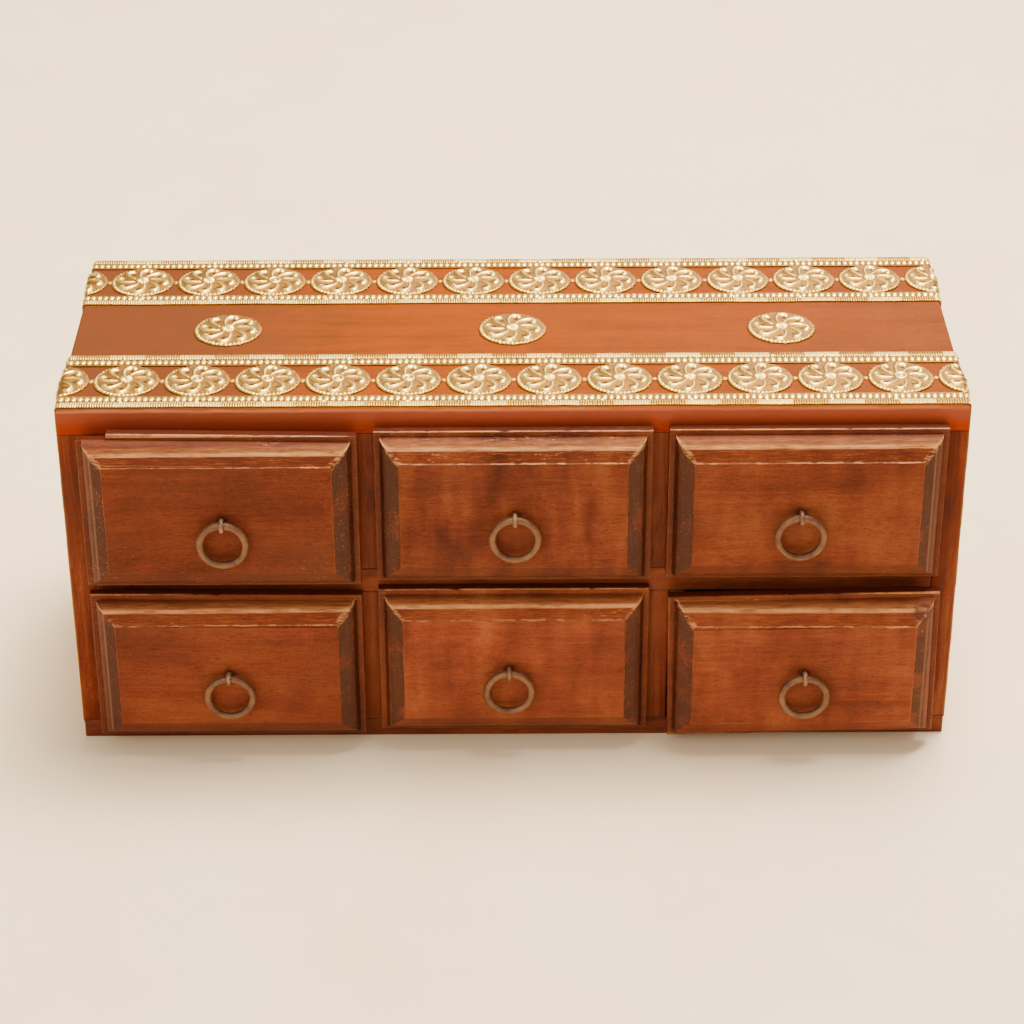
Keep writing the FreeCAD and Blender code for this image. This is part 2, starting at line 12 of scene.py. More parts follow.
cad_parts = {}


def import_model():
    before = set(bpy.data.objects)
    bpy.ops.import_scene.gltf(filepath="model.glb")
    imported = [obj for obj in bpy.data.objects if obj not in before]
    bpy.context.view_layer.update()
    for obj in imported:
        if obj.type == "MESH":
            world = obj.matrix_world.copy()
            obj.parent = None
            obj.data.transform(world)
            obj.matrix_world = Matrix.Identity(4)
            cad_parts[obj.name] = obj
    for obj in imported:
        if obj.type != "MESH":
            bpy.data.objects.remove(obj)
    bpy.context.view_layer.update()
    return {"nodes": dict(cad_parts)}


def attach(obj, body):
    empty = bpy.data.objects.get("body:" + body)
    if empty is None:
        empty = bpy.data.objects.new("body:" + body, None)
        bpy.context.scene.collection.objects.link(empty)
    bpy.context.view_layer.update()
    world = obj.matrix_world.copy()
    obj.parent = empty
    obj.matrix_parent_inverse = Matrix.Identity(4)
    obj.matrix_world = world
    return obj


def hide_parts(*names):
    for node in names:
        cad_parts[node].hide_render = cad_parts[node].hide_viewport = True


# The looks of a small hardwood chest of six drawers with pierced, embossed brass bands.
# Lengths are millimetres until a mesh or material is finished in metres; lamps and floor are given in metres.
# +X is to the right, -Y out of the drawer fronts and +Z up.

MM = 0.001
MERGE = 1e-5

# The case: half its width, its front and top, and how thick and how rounded its top board is.
CASE_HALF = 152.5
CASE_FRONT = -57.0
CASE_TOP = 132.5
TOP_THICKNESS = 9.5
TOP_ROUNDING = 1.2

# A drawer front: half its width, its edges over the foot of its opening, the thickness of its lip, the flat
# face of that, and the width and rise of the round moulding and of the slope inside it.
FRONT_HALF = 46.665
FRONT_FOOT = -1.5
FRONT_HEAD = 56.55
LIP = 3.5
LIP_FACE = 2.0
OVOLO = (2.8, 4.4)
BEVEL = (3.6, 1.4)

log = logging.getLogger("drawer_chest")

Triple = tuple[float, float, float]
Value = Union[float, Triple, "Wire"]


def paint(code: str) -> Triple:
    """Linear colour of a screen colour.

    Args:
        code: Six hexadecimal digits, red first.

    Returns:
        The three linear channels.
    """
    channels = [int(code[place:place + 2], 16) / 255 for place in (0, 2, 4)]
    red, green, blue = [c / 12.92 if c <= 0.04045 else ((c + 0.055) / 1.055) ** 2.4 for c in channels]
    return red, green, blue


def rough(x: float, y: float, z: float) -> float:
    """Smooth noise from about -1 to 1 at a point."""
    return noise.noise(Vector((x, y, z)))


def clamped(value: float) -> float:
    """The value kept between 0 and 1."""
    return min(1.0, max(0.0, value))


# ---- shader expressions ----


@dataclass(frozen=True, eq=False)
class Wire:
    """The output of a node, which can be used in arithmetic."""

    recipe: "Recipe"
    socket: bpy.types.NodeSocket

    def _math(self, operation: str, first: Value, second: Value) -> "Wire":
        """One Math node on two values."""
        return self.recipe.node("ShaderNodeMath", {"operation": operation}, {0: first, 1: second})

    def __add__(self, other: Value) -> "Wire":
        """Sum of the two."""
        return self._math("ADD", self, other)

    def __radd__(self, other: Value) -> "Wire":
        """Sum of the two."""
        return self._math("ADD", other, self)

    def __sub__(self, other: Value) -> "Wire":
        """This less the other."""
        return self._math("SUBTRACT", self, other)

    def __rsub__(self, other: Value) -> "Wire":
        """The other less this."""
        return self._math("SUBTRACT", other, self)

    def __mul__(self, other: Value) -> "Wire":
        """Product of the two."""
        return self._math("MULTIPLY", self, other)

    def __rmul__(self, other: Value) -> "Wire":
        """Product of the two."""
        return self._math("MULTIPLY", other, self)

    def __abs__(self) -> "Wire":
        """Size without its sign."""
        return self.recipe.node("ShaderNodeMath", {"operation": "ABSOLUTE"}, {0: self})

    def lower_of(self, other: Value) -> "Wire":
        """The smaller of the two."""
        return self._math("MINIMUM", self, other)

    def higher_of(self, other: Value) -> "Wire":
        """The larger of the two."""
        return self._math("MAXIMUM", self, other)


class Recipe:
    """One material, built up from expressions."""

    def __init__(self, name: str) -> None:
        """Start an empty material.

        Args:
            name: Its name.
        """
        self.material = bpy.data.materials.new(name)
        self.material.use_nodes = True
        self.tree = self.material.node_tree
        self.tree.nodes.clear()

    def node(self, kind: str, settings: dict, inputs: dict, output: Union[int, str] = 0) -> Wire:
        """Add one node.

        Args:
            kind: The node's type.
            settings: Its properties, and under "stops" the stops of a ramp.
            inputs: The values or links of its sockets, by name or number.
            output: Which output is wanted.

        Returns:
            That output.
        """
        made = self.tree.nodes.new(kind)
        for name, value in settings.items():
            if name == "stops":
                self._set_stops(made.color_ramp, value)
            else:
                setattr(made, name, value)
        for key, value in inputs.items():
            self.feed(made.inputs[key], value)
        return Wire(self, made.outputs[output])

    @staticmethod
    def _set_stops(ramp: bpy.types.ColorRamp, stops: Sequence[tuple[float, Triple]]) -> None:
        """Give a ramp its stops.

        Args:
            ramp: The ramp, which comes with two stops.
            stops: Each stop's place from 0 to 1 and its colour.
        """
        for index, (place, colour) in enumerate(stops):
            stop = ramp.elements[index] if index < 2 else ramp.elements.new(place)
            stop.position = place
            stop.color = (*colour, 1)

    def feed(self, socket: bpy.types.NodeSocket, value: Value) -> None:
        """Link a wire to a socket, or set the socket to a plain value.

        Args:
            socket: An input of a node.
            value: What it is given.
        """
        if isinstance(value, Wire):
            self.tree.links.new(value.socket, socket)
        elif socket.type == "RGBA":
            socket.default_value = (*value, 1)
        else:
            socket.default_value = value

    def place(self, centre: Triple = (0, 0, 0), turn: Triple = (0, 0, 0)) -> Wire:
        """Millimetres about a point of the object, turned after that.

        Args:
            centre: The point that becomes the origin.
            turn: Angles about the three axes.

        Returns:
            The place as a vector.
        """
        coordinates = self.node("ShaderNodeTexCoord", {}, {}, "Object")
        middle = [-c for c in centre]
        millimetres = {"Vector": coordinates, "Scale": (1 / MM,) * 3, "Location": middle}
        moved = self.node("ShaderNodeMapping", {"vector_type": "POINT"}, millimetres)
        return self.node("ShaderNodeMapping", {"vector_type": "POINT"}, {"Vector": moved, "Rotation": turn})

    def stretched(self, vector: Wire, by: Triple, shift: Triple = (0, 0, 0)) -> Wire:
        """A place scaled by axis, and then shifted."""
        inputs = {"Vector": vector, "Scale": by, "Location": shift}
        return self.node("ShaderNodeMapping", {"vector_type": "POINT"}, inputs)

    def length(self, vector: Wire) -> Wire:
        """How long a vector is."""
        return self.node("ShaderNodeVectorMath", {"operation": "LENGTH"}, {0: vector}, "Value")

    def swayed(self, vector: Wire, by: Wire) -> Wire:
        """A place moved across the grain, so that straight grain sways."""
        across = self.node("ShaderNodeCombineXYZ", {}, {1: by, 2: by})
        return self.node("ShaderNodeVectorMath", {"operation": "ADD"}, {0: vector, 1: across})

    def noise(self, vector: Wire, scale: float, detail: float = 2.0, roughness: float = 0.5) -> Wire:
        """Soft noise from 0 to 1."""
        inputs = {"Vector": vector, "Scale": scale, "Detail": detail, "Roughness": roughness}
        return self.node("ShaderNodeTexNoise", {}, inputs, "Fac")

    def grained(self, vector: Wire, by: Triple, detail: float, roughness: float = 0.5,
                shift: Triple = (0, 0, 0)) -> Wire:
        """Noise that is drawn out, as grain and streaks are.

        Args:
            vector: The place.
            by: Features for each millimetre of the three axes.
            detail: How many finer layers it has.
            roughness: How strong those are.
            shift: Where in the noise the piece lies.

        Returns:
            A value from 0 to 1.
        """
        return self.noise(self.stretched(vector, by, shift), 1, detail, roughness)

    def cells(self, vector: Wire, scale: float) -> Wire:
        """Distance to the nearest of scattered points."""
        return self.node("ShaderNodeTexVoronoi", {}, {"Vector": vector, "Scale": scale}, "Distance")

    def parts(self, vector: Wire) -> list[Wire]:
        """The three components of a vector."""
        return [self.node("ShaderNodeSeparateXYZ", {}, {0: vector}, axis) for axis in range(3)]

    def rise(self, value: Wire, low: float, high: float) -> Wire:
        """A smooth step from 0 at low to 1 at high; high may be the smaller."""
        inputs = {"Value": value, "From Min": low, "From Max": high}
        return self.node("ShaderNodeMapRange", {"interpolation_type": "SMOOTHSTEP"}, inputs)

    def ramp(self, factor: Wire, stops: Sequence[tuple[float, Triple]]) -> Wire:
        """Colours along a factor."""
        return self.node("ShaderNodeValToRGB", {"stops": stops}, {"Fac": factor})

    def mix(self, factor: Value, first: Value, second: Value) -> Wire:
        """Two colours mixed by a factor; a Mix node keeps its colours at 6 and 7 and gives one at 2."""
        return self.node("ShaderNodeMix", {"data_type": "RGBA"}, {0: factor, 6: first, 7: second}, 2)

    def coated(self, colour: Value, *coats: tuple[Value, Value]) -> Value:
        """Lay coats of paint over a colour.

        Args:
            colour: What they are laid on.
            coats: Each coat's cover from 0 to 1 and its colour, the lowest first.

        Returns:
            The colour that is seen.
        """
        for cover, coat in coats:
            colour = self.mix(cover, colour, coat)
        return colour

    def attribute(self, name: str) -> Wire:
        """A number kept on the mesh."""
        return self.node("ShaderNodeAttribute", {"attribute_name": name}, {}, "Fac")

    def finish(self, sockets: dict, height: Optional[Wire] = None, depth: float = 0.1) -> bpy.types.Material:
        """Close the material with its surface shader.

        Args:
            sockets: The values or links of the shader's sockets.
            height: A relief from 0 to 1, if it has one.
            depth: The depth of that relief in millimetres.

        Returns:
            The material.
        """
        shader = self.tree.nodes.new("ShaderNodeBsdfPrincipled")
        for name, value in sockets.items():
            self.feed(shader.inputs[name], value)
        if height is not None:
            bump = self.node("ShaderNodeBump", {}, {"Height": height, "Distance": depth * MM})
            self.feed(shader.inputs["Normal"], bump)
        out = self.tree.nodes.new("ShaderNodeOutputMaterial")
        self.tree.links.new(shader.outputs[0], out.inputs["Surface"])
        return self.material


# ---- finishes ----


class Grain(Enum):
    """Which way the grain runs, as the turn that lays it along X."""

    ALONG = (0, 0, 0)
    UPRIGHT = (0, math.pi / 2, 0)
    DEEP = (0, 0, -math.pi / 2)


@dataclass(frozen=True)
class Figure:
    """What the grain of one board looks like.

    Attributes:
        colour: The stained wood before wear.
        height: Its relief from 0 to 1.
        rub: A cloudy noise that says where the varnish is rubbed.
    """

    colour: Wire
    height: Wire
    rub: Wire


@dataclass(frozen=True)
class SatinWood:
    """Stained hardwood under satin varnish, rubbed pale along its edges."""

    name: str
    grain: Grain = Grain.ALONG
    seed: float = 0.0
    dark: Triple = paint("3A1710")
    middle: Triple = paint("652C1B")
    light: Triple = paint("834324")
    bare: Triple = paint("D0935A")
    grey: Triple = paint("533121")
    cast: Triple = (1.0, 1.0, 1.0)
    haze: float = 0.25
    flame: float = 0.0
    streak: float = 1.0
    roughness: float = 0.42
    gloss: float = 0.1
    wear: float = 0.5
    relief: float = 0.07

    def figure(self, recipe: Recipe, place: Wire) -> Figure:
        """Draw the grain.

        Args:
            recipe: The material it is for.
            place: Millimetres, with the grain along X.

        Returns:
            The board's figure.
        """
        here = recipe.stretched(place, (1, 1, 1), tuple(self.seed * step for step in (37.1, 11.7, 23.3)))
        bent = recipe.swayed(here, recipe.grained(here, (0.012, 0.05, 0.05), 1) * 14)
        bands = recipe.grained(bent, (0.006, 0.16, 0.16), 3, 0.6)
        streaks = recipe.grained(bent, (0.02, 0.85, 0.85), 3, 0.65)
        fibres = recipe.grained(bent, (0.14, 3.4, 3.4), 2, 0.6)
        pores = recipe.rise(recipe.grained(bent, (0.3, 4.6, 4.6), 1), 0.62, 0.7)
        cloud = recipe.noise(here, 0.035, 3, 0.55)
        ripple = recipe.grained(here, (0.13, 0.02, 0.035), 2)
        mottle = recipe.noise(here, 1.2, 5, 0.72)
        tone = 0.5 + (bands - 0.5) * (1.1 * self.streak) + (streaks - 0.5) * (0.75 * self.streak)
        tone = tone + (mottle - 0.5) * 0.4 + (fibres - 0.5) * 0.35
        tone = tone + (cloud - 0.5) * 0.7 + (ripple - 0.5) * (self.flame * 1.6)
        dark, middle, light = [tuple(c * k for c, k in zip(stain, self.cast))
                               for stain in (self.dark, self.middle, self.light)]
        stained = recipe.ramp(tone, [(0.12, dark), (0.5, middle), (0.9, light)])
        veil = recipe.rise(recipe.grained(here, (0.02, 0.05, 0.05), 4, 0.6), 0.42, 0.72)
        colour = recipe.coated(stained, (pores * 0.45, dark), (veil * self.haze, self.grey))
        rub = recipe.noise(here, 0.09, 5, 0.62)
        return Figure(colour, 0.6 * streaks + 0.3 * fibres - 0.5 * pores + 0.25 * rub, rub)

    def shine(self, rub: Wire, bare: Value) -> dict:
        """The varnish's sockets, from a cloudy noise and from how bare the wood is."""
        dull = self.roughness + (rub - 0.5) * 0.28 + bare * 0.2
        return {"Roughness": dull, "Specular IOR Level": self.gloss}

    def board(self, centre: Triple = (0, 0, 0)) -> bpy.types.Material:
        """The material of a plain board, pale where its arrises are rubbed.

        Args:
            centre: The point that its grain is drawn about.

        Returns:
            The material.
        """
        recipe = Recipe(self.name)
        place = recipe.place(centre, self.grain.value)
        figure = self.figure(recipe, place)
        rubbed = recipe.rise(figure.rub, 0.72 - self.wear * 0.3, 0.86 - self.wear * 0.3)
        rubbed = recipe.attribute("arris") * rubbed
        colour = recipe.mix(rubbed * 0.75, figure.colour, self.bare)
        sockets = {"Base Color": colour, **self.shine(figure.rub, rubbed)}
        return recipe.finish(sockets, figure.height, self.relief)


@dataclass(frozen=True)
class TopWood(SatinWood):
    """The wood of the top board, with painted shade that darkens its top towards its ends and its front face
    towards its foot, and a painted highlight along its front arris.
    """

    front_y: float = CASE_FRONT
    top_z: float = CASE_TOP
    thickness: float = TOP_THICKNESS
    rounding: float = TOP_ROUNDING
    # painted shade: the colour the top is darkened to towards its left end, and a little towards its right
    # end
    end_shade: Triple = paint("5F341D")
    # painted shade: the front face grades from the face colour at its top to the darker foot colour at its
    # lower edge
    face: Triple = paint("8E452F")
    foot: Triple = paint("8B2E12")
    # painted highlight along the rounded front arris of the top
    arris_highlight: Triple = paint("AD653F")

    def board(self, centre: Triple = (0, 0, 0)) -> bpy.types.Material:
        """The material of the top board.

        Args:
            centre: The point that its grain is drawn about.

        Returns:
            The material.
        """
        recipe = Recipe(self.name)
        place = recipe.place(centre, self.grain.value)
        figure = self.figure(recipe, place)
        x, y, z = recipe.parts(place)
        # painted shade: the top is painted darker towards its left end and a little towards its right end
        drift = x + (figure.rub - 0.5) * 60
        left = recipe.rise(drift, -40, -120) * 0.85
        right = recipe.rise(drift, 40, 130) * 0.3
        upper = recipe.coated(figure.colour, (left, self.end_shade), (right, self.end_shade))
        # painted shade: the front face is darkened towards its foot, where the drawers' lips stand out below
        # it
        drop = self.top_z - z + (figure.rub - 0.5) * 1.2
        lower = recipe.rise(drop, self.rounding, self.thickness - 1)
        face = recipe.coated(self.face, (lower, self.foot), ((figure.height - 0.4) * 0.5, figure.colour))
        ahead = recipe.rise(y, self.front_y + 0.5, self.front_y + 0.05)
        # painted highlight: a pale, patchy line along the rounded front arris
        arris = recipe.rise(abs(drop - self.rounding * 0.7), 0.75, 0.15)
        arris = arris * recipe.rise(y, self.front_y + 1.1, self.front_y + 0.7)
        patchy = recipe.rise(recipe.grained(place, (0.02, 0.2, 0.2), 3, 0.6), 0.36, 0.62)
        rubbed = recipe.attribute("arris") * recipe.rise(figure.rub, 0.66, 0.8)
        colour = recipe.coated(upper, (ahead, face), (arris * (0.25 + patchy * 0.5), self.arris_highlight),
                               (rubbed * 0.35, self.bare))
        sockets = {"Base Color": colour, **self.shine(figure.rub, rubbed)}
        return recipe.finish(sockets, figure.height, self.relief)


@dataclass(frozen=True)
class MouldedWood(SatinWood):
    """The satin wood of a drawer front, with painted shade and painted highlights on its moulding, and its
    edges chipped.

    Attributes:
        moulding: Width of the whole moulding.
        deepen: How much wider the upper slope is.
        dust: Amount of dust in the moulding.
        chips: Amount of chipped varnish.
        foot_shade: Strength of the painted shade on the lower length of moulding.
        knot: Strength of the dark knot in the lower outer corner.
        pull_shift: How far the pull sits to the right of the front's middle.
        outer: Side that is nearer an end of the chest: -1 left, 1 right, 0 neither.
        aside: How far the front sits to the right of its drawer.
    """

    streak: float = 0.38
    half_width: float = FRONT_HALF
    half_height: float = (FRONT_HEAD - FRONT_FOOT) / 2
    moulding: float = LIP_FACE + OVOLO[0] + BEVEL[0]
    lip: float = LIP_FACE
    thickness: float = LIP
    ovolo: float = OVOLO[0]
    deepen: float = 0.0
    gloss: float = 0.06
    dust: float = 0.5
    chips: float = 0.5
    foot_shade: float = 0.5
    knot: float = 0.0
    pull_shift: float = 0.0
    outer: int = 0
    aside: float = 0.0
    hole_shade: tuple = (3.0, 1.2)
    knot_place: tuple = (41.0, 23.5)
    knot_edge: tuple = (4.2, 2.2)
    umber: Triple = paint("3F281F")
    # painted highlight along the ovolo's crest on the stile nearer an end of the chest
    crest_highlight: Triple = paint("7C573F")
    russet: Triple = paint("4A1A08")
    rimwood: Triple = paint("4A271A")
    # painted shade: near black laid in the groove where the ovolo leaves the lip
    pitch: Triple = paint("1B0803")
    # painted shade: the dark colour of the lip's top and side faces, which stand behind its front
    under: Triple = paint("3E0F03")
    # painted highlight and dusty rubbed varnish on the upper ovolo
    ovolo_highlight_and_dust: Triple = paint("A26535")
    # painted highlight on the upper ovolo; also the colour of the worn line round the field and of the mitres
    highlight_and_wear: Triple = paint("C48B5B")
    amber: Triple = paint("A05423")
    speck: Triple = paint("9F7A65")
    # grime, and painted shade standing for the pin's hole, which is not cut
    grime_and_hole_shade: Triple = paint("230E08")
    knotwood: Triple = paint("4A2C20")
    relief: float = 0.1

    @property
    def ridge(self) -> float:
        """How far inside the edge the moulding's ridge runs."""
        return self.lip + self.ovolo

    def front(self, centre: Triple) -> bpy.types.Material:
        """The material of a drawer front.

        Args:
            centre: The middle of the front, at its lip's back, in millimetres.

        Returns:
            The material.
        """
        recipe = Recipe(self.name)
        place = recipe.place(centre)
        figure = self.figure(recipe, place)
        zone = self.zone(recipe, place)
        colour, bare = self.worn(zone, self.moulded(zone, figure.colour))
        # painted shade of the pin's uncut hole, together with grime, in an uneven ring round the pin
        from_hole = recipe.length(recipe.stretched(place, (1, 0, 1), (-self.pull_shift, 0, 0)))
        hole = recipe.rise(from_hole + (zone.wobble - 0.5) * 2, *self.hole_shade)
        aside, below = self.knot_place
        from_knot = recipe.length(recipe.stretched(place, (1, 0, 1), (-aside * self.outer, 0, -below)))
        from_knot = from_knot + (zone.fleck - 0.5) * 3 + (zone.wobble - 0.5) * 3
        knot = recipe.rise(from_knot, *self.knot_edge) * self.knot
        scar = recipe.mix(recipe.rise(zone.wobble, 0.52, 0.66) * 0.6, self.knotwood, self.speck)
        colour = recipe.coated(colour, (hole * 0.6, self.grime_and_hole_shade), (knot, scar))
        height = figure.height + zone.run * zone.moulding * 1.5 - bare * 0.5
        return recipe.finish({"Base Color": colour, **self.shine(figure.rub, bare)}, height, self.relief)

    def zone(self, recipe: Recipe, place: Wire) -> "Zone":
        """Tell the lengths of the moulding apart.

        Args:
            recipe: The material it is for.
            place: Millimetres about the front's middle.

        Returns:
            Where on the front each point lies.
        """
        x, y, z = recipe.parts(place)
        upper = recipe.rise(z, -4, 4)
        from_side = self.half_width - abs(x - self.aside)
        from_level = self.half_height - abs(z)
        squeeze = 1 - upper * (self.deepen / (self.moulding - self.ridge + self.deepen))
        from_level = from_level.lower_of(self.ridge) + (from_level - self.ridge).higher_of(0.0) * squeeze
        inward = from_side.lower_of(from_level)
        return Zone(
            recipe=recipe, place=place, seed=self.seed, inward=inward, y=y, upper=upper,
            moulding=recipe.rise(inward, self.moulding + 0.02, self.moulding - 0.15),
            stile=recipe.rise(from_level - from_side, -0.1, 0.1),
            right=recipe.rise(x, -4, 4),
            outside=recipe.rise(x * self.outer, -4, 4) * abs(self.outer),
            mitre=abs(from_level - from_side))

    def moulded(self, zone: "Zone", colour: Wire) -> Wire:
        """Lay the colours of the lip, the hollow and the slopes over the wood, with painted shade and painted
        highlights.

        Args:
            zone: Where on the front it is.
            colour: The plain wood.

        Returns:
            The colour with its shades.
        """
        recipe, inward, stile, head, run = zone.recipe, zone.inward, zone.stile, zone.head, zone.run
        lip, ridge = self.lip, self.ridge
        slope = recipe.rise(inward, ridge - 0.25, ridge + 0.25) * zone.moulding
        inner = recipe.rise(inward, lip + 1.0, lip + 1.8) * zone.moulding
        ruddy = recipe.rise(zone.slow + (zone.fleck - 0.5) * 0.3, 0.54, 0.64) * 0.35
        # painted highlight along the ovolo's crest on the outer stile
        crest_highlight = recipe.rise(abs(inward - ridge + 0.2), 0.6, 0.1) * stile * zone.outside
        edge = recipe.rise(inward, lip + 0.3, lip - 0.3)
        # painted shade: a dark line in the groove where the ovolo leaves the lip, strongest on the stiles
        # nearer the middle and on the foot
        groove_shade = recipe.rise(abs(inward - lip - 0.6 + (zone.wobble - 0.5) * 0.6), 1.0, 0.3)
        deep = stile * (0.75 - zone.outside * 0.5) + head * 0.12 + zone.foot * 0.4
        # painted highlight and dusty rubbed varnish over the upper ovolo
        hollow = head * recipe.rise(inward, lip, lip + 0.8) * recipe.rise(inward, ridge + 0.4, ridge)
        # painted highlight: a bright band along the upper ovolo, just above the slope
        bright = head * recipe.rise(inward, lip + 1.2, ridge - 0.25)
        bright = bright * recipe.rise(inward, ridge + 0.35, ridge)
        # painted highlight: a narrow bright line on the upper ovolo, in the colour of bare wood
        spark_highlight = head * recipe.rise(abs(inward - ridge + 0.6 + (zone.wobble - 0.5) * 0.6), 0.5, 0.1)
        return recipe.coated(
            colour,
            (inner * stile * (0.85 + (run - 0.5) * 0.4 - ruddy), self.umber),
            # painted shade: the downward-facing lower length of moulding is darkened to umber
            (zone.moulding * zone.foot * (0.3 + run) * self.foot_shade, self.umber),
            (slope * head * run * 0.4, self.russet),
            (slope * head * recipe.rise(run, 0.48, 0.66) * 0.5, self.amber),
            (crest_highlight * (0.3 + run * 0.5), self.crest_highlight),
            (edge * (0.3 + zone.fleck * 0.4) * (1 - head * 0.6), self.rimwood),
            (groove_shade * deep, self.pitch),
            (hollow * (0.1 + recipe.rise(run, 0.35, 0.65) * 0.5), self.ovolo_highlight_and_dust),
            (bright * recipe.rise(run * 0.7 + zone.slow * 0.3, 0.3, 0.62), self.highlight_and_wear),
            (spark_highlight * recipe.rise(zone.slow + (run - 0.5) * 0.5, 0.35, 0.65) * 0.7, self.bare))

    def worn(self, zone: "Zone", colour: Wire) -> tuple[Wire, Wire]:
        """Chip, rub and dust the front, and paint shade on the lip's outer faces.

        Args:
            zone: Where on the front it is.
            colour: The colour before wear.

        Returns:
            The worn colour, and how bare the wood is.
        """
        recipe, inward, head = zone.recipe, zone.inward, zone.head
        patch = recipe.rise(zone.slow, 0.66 - self.chips * 0.2, 0.74 - self.chips * 0.16)
        flaked = zone.moulding * recipe.rise(zone.fleck, 0.58, 0.66) * patch * (0.15 + head * 0.85)
        broken = recipe.rise(zone.mitre + (zone.slow - 0.5) * 5, 1.6, 0.3)
        broken = broken * recipe.rise(zone.fleck, 0.44, 0.56)
        broken = broken * zone.moulding * zone.upper * recipe.rise(inward, self.lip, self.lip + 1)
        patchy = recipe.noise(zone.place, 0.11, 4, 0.65)
        patchy = recipe.rise(patchy, 0.6 - self.wear * 0.3, 0.7 - self.wear * 0.3)
        line = recipe.rise(abs(inward - self.moulding + (zone.wobble - 0.5) * 0.5), 0.24, 0.06)
        line = line * (0.16 + head * 0.04 + patchy * (0.3 + head * 0.17 + zone.right * self.chips * 0.3))
        corner = recipe.rise(zone.mitre, 0.42, 0.12) * recipe.rise(inward, self.lip - 0.2, self.lip + 0.4)
        corner = corner * recipe.rise(inward, self.ridge + 0.3, self.ridge - 0.2) * zone.upper
        # painted shade on the lip's top and side faces, behind its front face
        behind = recipe.rise(zone.y, 0.3 - self.thickness, 0.7 - self.thickness)
        arris = recipe.rise(inward + (zone.fleck - 0.5) * 0.4, 0.32, 0.1)
        arris = arris * recipe.rise(zone.y, 0.75 - self.thickness, 0.3 - self.thickness)
        arris = arris * (0.12 + head * 0.6 + zone.foot * 0.1) * (0.55 + patchy * 0.45)
        dots = recipe.rise(recipe.cells(zone.place, 0.7), 0.16, 0.08)
        dusty = recipe.rise(zone.slow, 0.45, 0.7) * 0.45 + zone.moulding * zone.stile * 0.6
        film = recipe.rise(recipe.noise(zone.place, 0.9, 4, 0.75), 0.5, 0.75) * dusty
        colour = recipe.coated(
            colour,
            (flaked * 0.55, self.bare),
            (broken * 0.55, self.bare),
            (line, recipe.mix(head, self.amber, self.highlight_and_wear)),
            (corner * (0.35 + patchy * 0.5), self.highlight_and_wear),
            (behind * 0.8, self.under),
            (arris, self.bare),
            (dots * dusty * self.dust, self.speck),
            (film * self.dust * 0.3, self.speck))
        return colour, (flaked * 0.6 + arris).lower_of(0.9)


@dataclass(frozen=True)
class Zone:
    """Where on a drawer front a point lies.

    Attributes:
        recipe: The material it is for.
        place: Millimetres about the front's middle.
        inward: Distance from the nearest edge.
        y: Depth, from the lip's back.
        stile: 1 beside the upright edges.
        upper: 1 in the upper half.
        right: 1 in the right half.
        outside: 1 in the half nearer an end of the chest.
        moulding: 1 on the moulding, 0 on the field.
        mitre: Distance from the line where two lengths of moulding meet.
        seed: Number of the front.
    """

    recipe: Recipe
    place: Wire
    inward: Wire
    y: Wire
    stile: Wire
    upper: Wire
    right: Wire
    outside: Wire
    moulding: Wire
    mitre: Wire
    seed: float

    @cached_property
    def head(self) -> Wire:
        """1 beside the upper edge."""
        return self.upper * (1 - self.stile)

    @cached_property
    def foot(self) -> Wire:
        """1 beside the lower edge."""
        return (1 - self.upper) * (1 - self.stile)

    @cached_property
    def wobble(self) -> Wire:
        """Fine noise."""
        return self.recipe.noise(self.place, 0.45, 3, 0.6)

    @cached_property
    def fleck(self) -> Wire:
        """Short noise with hard flakes."""
        return self.recipe.grained(self.place, (0.32, 1.5, 1.5), 4, 0.7, (self.seed * 9, 0, 0))

    @cached_property
    def slow(self) -> Wire:
        """Broad noise."""
        return self.recipe.grained(self.place, (0.07, 0.12, 0.07), 3, 0.6, (self.seed * 5, 0, 0))

    @cached_property
    def run(self) -> Wire:
        """Draw streaks along each length of the moulding.

        Returns:
            A value from 0 to 1.
        """
        shift = (self.seed * 3, self.seed, 0)
        level = self.recipe.grained(self.place, (0.12, 1.5, 2.0), 5, 0.75, shift)
        upright = self.recipe.grained(self.place, (2.0, 1.5, 0.12), 5, 0.75, shift)
        return level + (upright - level) * self.stile


@dataclass(frozen=True)
class RawWood:
    """Plain planed wood inside the drawers."""

    name: str
    grain: Grain
    seed: float = 0.0
    pale: Triple = paint("875D38")
    deep: Triple = paint("58341D")
    edge: Triple = paint("A47E58")

    def material(self) -> bpy.types.Material:
        """Make dry, unvarnished wood with open pores and saw marks.

        Returns:
            The material.
        """
        recipe = Recipe(self.name)
        place = recipe.place((self.seed * 13, self.seed * 7, 0), self.grain.value)
        bent = recipe.swayed(place, recipe.grained(place, (0.015, 0.06, 0.06), 1) * 12)
        streaks = recipe.grained(bent, (0.015, 0.5, 0.5), 4, 0.65)
        pores = recipe.rise(recipe.grained(bent, (0.25, 4.2, 4.2), 1), 0.58, 0.68)
        marks = recipe.grained(place, (0.8, 0.05, 0.05), 2, 0.6)
        planed = recipe.ramp(streaks + (marks - 0.5) * 0.25, [(0.25, self.deep), (0.7, self.pale)])
        rubbed = recipe.attribute("arris") * 0.35
        colour = recipe.coated(planed, (pores * 0.5, self.deep), (rubbed, self.edge))
        sockets = {"Base Color": colour, "Roughness": 0.72 + marks * 0.15}
        return recipe.finish(sockets, streaks * 0.5 - pores * 0.6 + marks * 0.4, 0.12)


